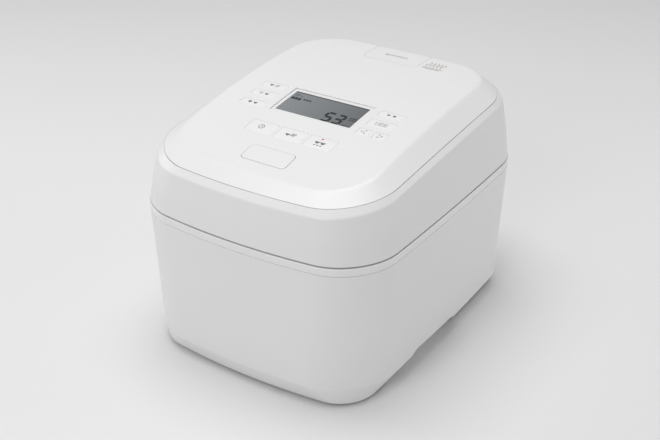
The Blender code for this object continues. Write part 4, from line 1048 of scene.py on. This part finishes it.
def make_inner_lid():
    """The pressed inner lid: a dished sheet with a raised middle and a hole for the valve ball."""
    low, high = node_box("inner_lid")
    under, top, radius = low[2], high[2], (high[0] - low[0]) / 2
    sheet = 1.2 * MM
    steps = [(0.2 * MM, 1.4 * MM), (40 * MM, 1.4 * MM), (46 * MM, 0.0), (92 * MM, 0.0), (95 * MM, 1.2 * MM),
             (radius, 1.2 * MM)]
    upper = [(r, top - 1.4 * MM + z) for r, z in steps]
    lower = [(r, z - sheet) for r, z in upper]
    profile = lower + upper[::-1]
    lid = turned("inner_lid_pressing", profile, [0.9 * MM] * len(profile), POT_Y, closed=False, steps=128,
                 sharp=60)
    carve(lid, round_way(3.2 * MM, VALVE_Y, under - 5 * MM, top + 5 * MM, steps=32))
    finished(lid, "pressed", "lid", "steel", "inner_lid")


def make_inner_lid_gasket():
    """The moulded seal round the inner lid: a channel with a lip that leans on the pot's rim."""
    profile = [(99.5, 155.6), (104.5, 155.6), (105.5, 153.0), (103.0, 150.4), (101.6, 150.4), (102.6, 152.6),
               (99.5, 153.0)]
    profile = [(r * MM, z * MM) for r, z in profile]
    seal = turned("inner_lid_seal", profile, [0.7 * MM] * len(profile), POT_Y, steps=128)
    finished(seal, "silicone", "lid", "silicone", "inner_lid_gasket")


def make_lid_underside():
    """The lid's lower moulding: a flat border, then a step up into the round well of the inner lid."""
    low, high = node_box("lid_underside")
    under, over = low[2], high[2]
    edge = ring(LID_FOOT, inset=WALL + 0.1 * MM, drop=LID_FOOT.height - under)
    edge_top = ring(LID_FOOT, inset=WALL + 0.3 * MM, drop=LID_FOOT.height - under - 2.2 * MM)
    well = over - 2 * MM
    rings = [
        pot_ring(1 * MM, well, edge), pot_ring(107 * MM, well, edge), pot_ring(108 * MM, under, edge),
        edge, edge_top, pot_ring(109 * MM, under + 2.2 * MM, edge), pot_ring(107.5 * MM, over, edge),
        pot_ring(1 * MM, over, edge),
    ]
    trims = [0, 0.8 * MM, 0.8 * MM, 0.5 * MM, 0, 0, 0, 0]
    plate = skin("lid_underside_moulding", rounded(rings, trims), 'POLES')
    slot = latch_way(node_box("latch_hook")[0][1] + 3.0 * MM, under - 5 * MM, over + 5 * MM)
    carve(plate, slot, round_way(10.5 * MM, VALVE_Y, under, over + 5 * MM, steps=48))
    finished(plate, "satin", "lid", "white_satin", "lid_underside")


# ---------------------------------------------------------------- hinge
HINGE_ROUND = 7.0 * MM          # the barrel's radius
LEAF_REACH = 30 * MM            # how far each leaf runs up or down the wall
KNUCKLE_INNER, KNUCKLE_OUTER = 38 * MM, 58 * MM
ARM_LOW, ARM_HIGH = -30 * MM, 37.5 * MM


def hinge_profile(side, wall_near, wall_far):
    """A barrel whose back runs out along a wall, above (+1) or below (-1) the hinge's axis.

    The back falls from the barrel to the wall by one less the height's share to the power 1.6.
    """
    barrel = arc((HINGE_Y, 0.0), HINGE_ROUND, 180, 360, 19)
    share = np.linspace(0.08, 1.0, 12)
    back_y = wall_far + 3 * MM + (HINGE_Y + HINGE_ROUND - wall_far - 3 * MM) * (1 - share ** 1.6)
    back = np.stack([back_y, share * LEAF_REACH], axis=1)
    front = np.array([[wall_far, LEAF_REACH], [wall_near, 1.5 * MM]])
    profile = np.concatenate([barrel, back, front])
    return profile * (1, side) + (0, HINGE_Z)


def make_hinge():
    """Two fixed knuckles joined by a bridge on the base, and the wide arm on the lid."""
    wall = BODY_Y + HALF_DEPTH
    fixed = hinge_profile(-1, wall - 0.7 * MM, wall - 0.9 * MM)
    sides = (("right", KNUCKLE_INNER, KNUCKLE_OUTER), ("left", -KNUCKLE_OUTER, -KNUCKLE_INNER))
    for name, low, high in sides:
        knuckle = extruded(f"hinge_knuckle_{name}", fixed, low, high, round_by=0.9 * MM)
        finished(knuckle, "satin", "base", "white_satin", "hinge_bracket")
    middle = HINGE_Z - 18 * MM
    bridge_y = np.array([wall - 0.7 * MM, wall + 2.6 * MM, wall + 3.6 * MM])
    bridge = [(bridge_y[0], middle - 6 * MM), (bridge_y[1], middle - 6 * MM), (bridge_y[2], middle - 5 * MM),
              (bridge_y[2], middle + 5 * MM), (bridge_y[1], middle + 6 * MM), (bridge_y[0], middle + 6 * MM)]
    finished(extruded("hinge_bridge", bridge, -KNUCKLE_INNER - 2 * MM, KNUCKLE_INNER + 2 * MM),
             "satin", "base", "white_satin")
    moving = hinge_profile(1, wall - 1.6 * MM, wall - 5.0 * MM)
    arm = extruded("hinge_arm_cover", moving, ARM_LOW, ARM_HIGH, round_by=0.9 * MM)
    finished(arm, "satin", "lid", "white_satin", "hinge_arm")


# ---------------------------------------------------------------- stage
FLOOR_HALF = 3.0
LENS, SHIFT_X, SHIFT_Y = 63.65, -0.0079, -0.0168
AZIMUTH, ELEVATION, DISTANCE = math.radians(32.89), math.radians(28.44), 1.169
AIM_HEIGHT = 0.110


def make_stage():
    """A plain, pale, matt floor."""
    half = FLOOR_HALF
    grid = np.array([[-half, -half, 0.0], [half, -half, 0.0], [half, half, 0.0], [-half, half, 0.0]])
    floor = mesh_object("studio_floor", grid, [[0, 1, 2, 3]])
    material, shader = new_material("white_studio_paper")
    shader.inputs["Base Color"].default_value = srgb("#E6E6E6")
    shader.inputs["Roughness"].default_value = 0.9
    shader.inputs["Specular IOR Level"].default_value = 0.0
    floor.data.materials.append(material)


def make_camera():
    """A view from the front and the right, a little from above, through a short telephoto lens."""
    data = bpy.data.cameras.new("camera")
    data.sensor_width = 36
    data.lens = LENS
    data.shift_x = SHIFT_X
    data.shift_y = SHIFT_Y
    camera = bpy.data.objects.new("camera", data)
    bpy.context.scene.collection.objects.link(camera)
    back = np.array([math.sin(AZIMUTH) * math.cos(ELEVATION), -math.cos(AZIMUTH) * math.cos(ELEVATION),
                     math.sin(ELEVATION)])
    camera.location = np.array([0.0, BODY_Y, AIM_HEIGHT]) + back * DISTANCE
    camera.rotation_euler = (math.pi / 2 - ELEVATION, 0.0, AZIMUTH)
    bpy.context.scene.camera = camera


def soft_box(name, place, aim, size, power):
    """A large square lamp at a place, turned towards a point."""
    data = bpy.data.lights.new(name, 'AREA')
    data.shape = 'SQUARE'
    data.size = size
    data.energy = power
    lamp = bpy.data.objects.new(name, data)
    bpy.context.scene.collection.objects.link(lamp)
    lamp.location = place
    direction = np.array(aim) - np.array(place)
    pitch = math.atan2(np.hypot(direction[0], direction[1]), -direction[2])
    lamp.rotation_euler = (pitch, 0.0, math.atan2(-direction[0], direction[1]))


def make_lights():
    """An even white room with a large soft box overhead and three weaker ones round the cooker."""
    world = bpy.data.worlds.new("white_studio")
    world.use_nodes = True
    world.node_tree.nodes["Background"].inputs["Color"].default_value = (1, 1, 1, 1)
    world.node_tree.nodes["Background"].inputs["Strength"].default_value = 0.4
    bpy.context.scene.world = world
    bpy.context.scene.view_settings.view_transform = 'Standard'
    middle = (0.0, 0.0, 0.12)
    soft_box("top_box", (-0.2, 0.05, 1.8), middle, 1.2, 16)
    soft_box("front_box", (0.12, -1.45, 0.95), middle, 0.9, 6)
    soft_box("left_box", (-1.55, -0.35, 0.55), middle, 0.8, 3.5)
    soft_box("rear_box", (1.35, 1.1, 0.45), middle, 0.9, 5)


NODE_MATERIALS = {
    "satin": "steam_pocket",
    "grey": "bottom_cover cord_outlet pot_chamber sensor_seat reel_housing steam_duct latch_hook",
    "black": "coil_carrier fan_housing fan_rotor reel_drum",
    "rubber": "foot_front_left foot_front_right foot_rear_left foot_rear_right",
    "silicone": "steam_cap_gasket",
    "pressed": "catch_plate",
    "steel": "hinge_pin hinge_spring latch_pin latch_spring sensor_spring pressure_ball",
    "aluminium": "side_heater heat_sink lid_heater sensor_plunger",
    "copper": "induction_coil_inner induction_coil_outer",
    "ferrite": "ferrite_bar_front ferrite_bar_rear ferrite_bar_left ferrite_bar_right",
    "board": "inverter_board control_board",
}


def finish_nodes():
    """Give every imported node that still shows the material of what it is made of."""
    for material, names in NODE_MATERIALS.items():
        for name in names.split():
            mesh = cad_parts[name].data
            mesh.materials.clear()
            mesh.materials.append(MATERIALS[material])


make_camera()
make_stage()
make_lights()
make_body_shell()
make_shoulder_ring()
make_lid_frame()
make_top_panel()
make_keys()
make_open_button()
make_display()
make_display_marks()
make_legends()
make_cook_lamp()
make_steam_cap()
make_steam_mark()
make_inner_pot()
make_inner_lid()
make_inner_lid_gasket()
make_lid_underside()
make_hinge()
finish_nodes()
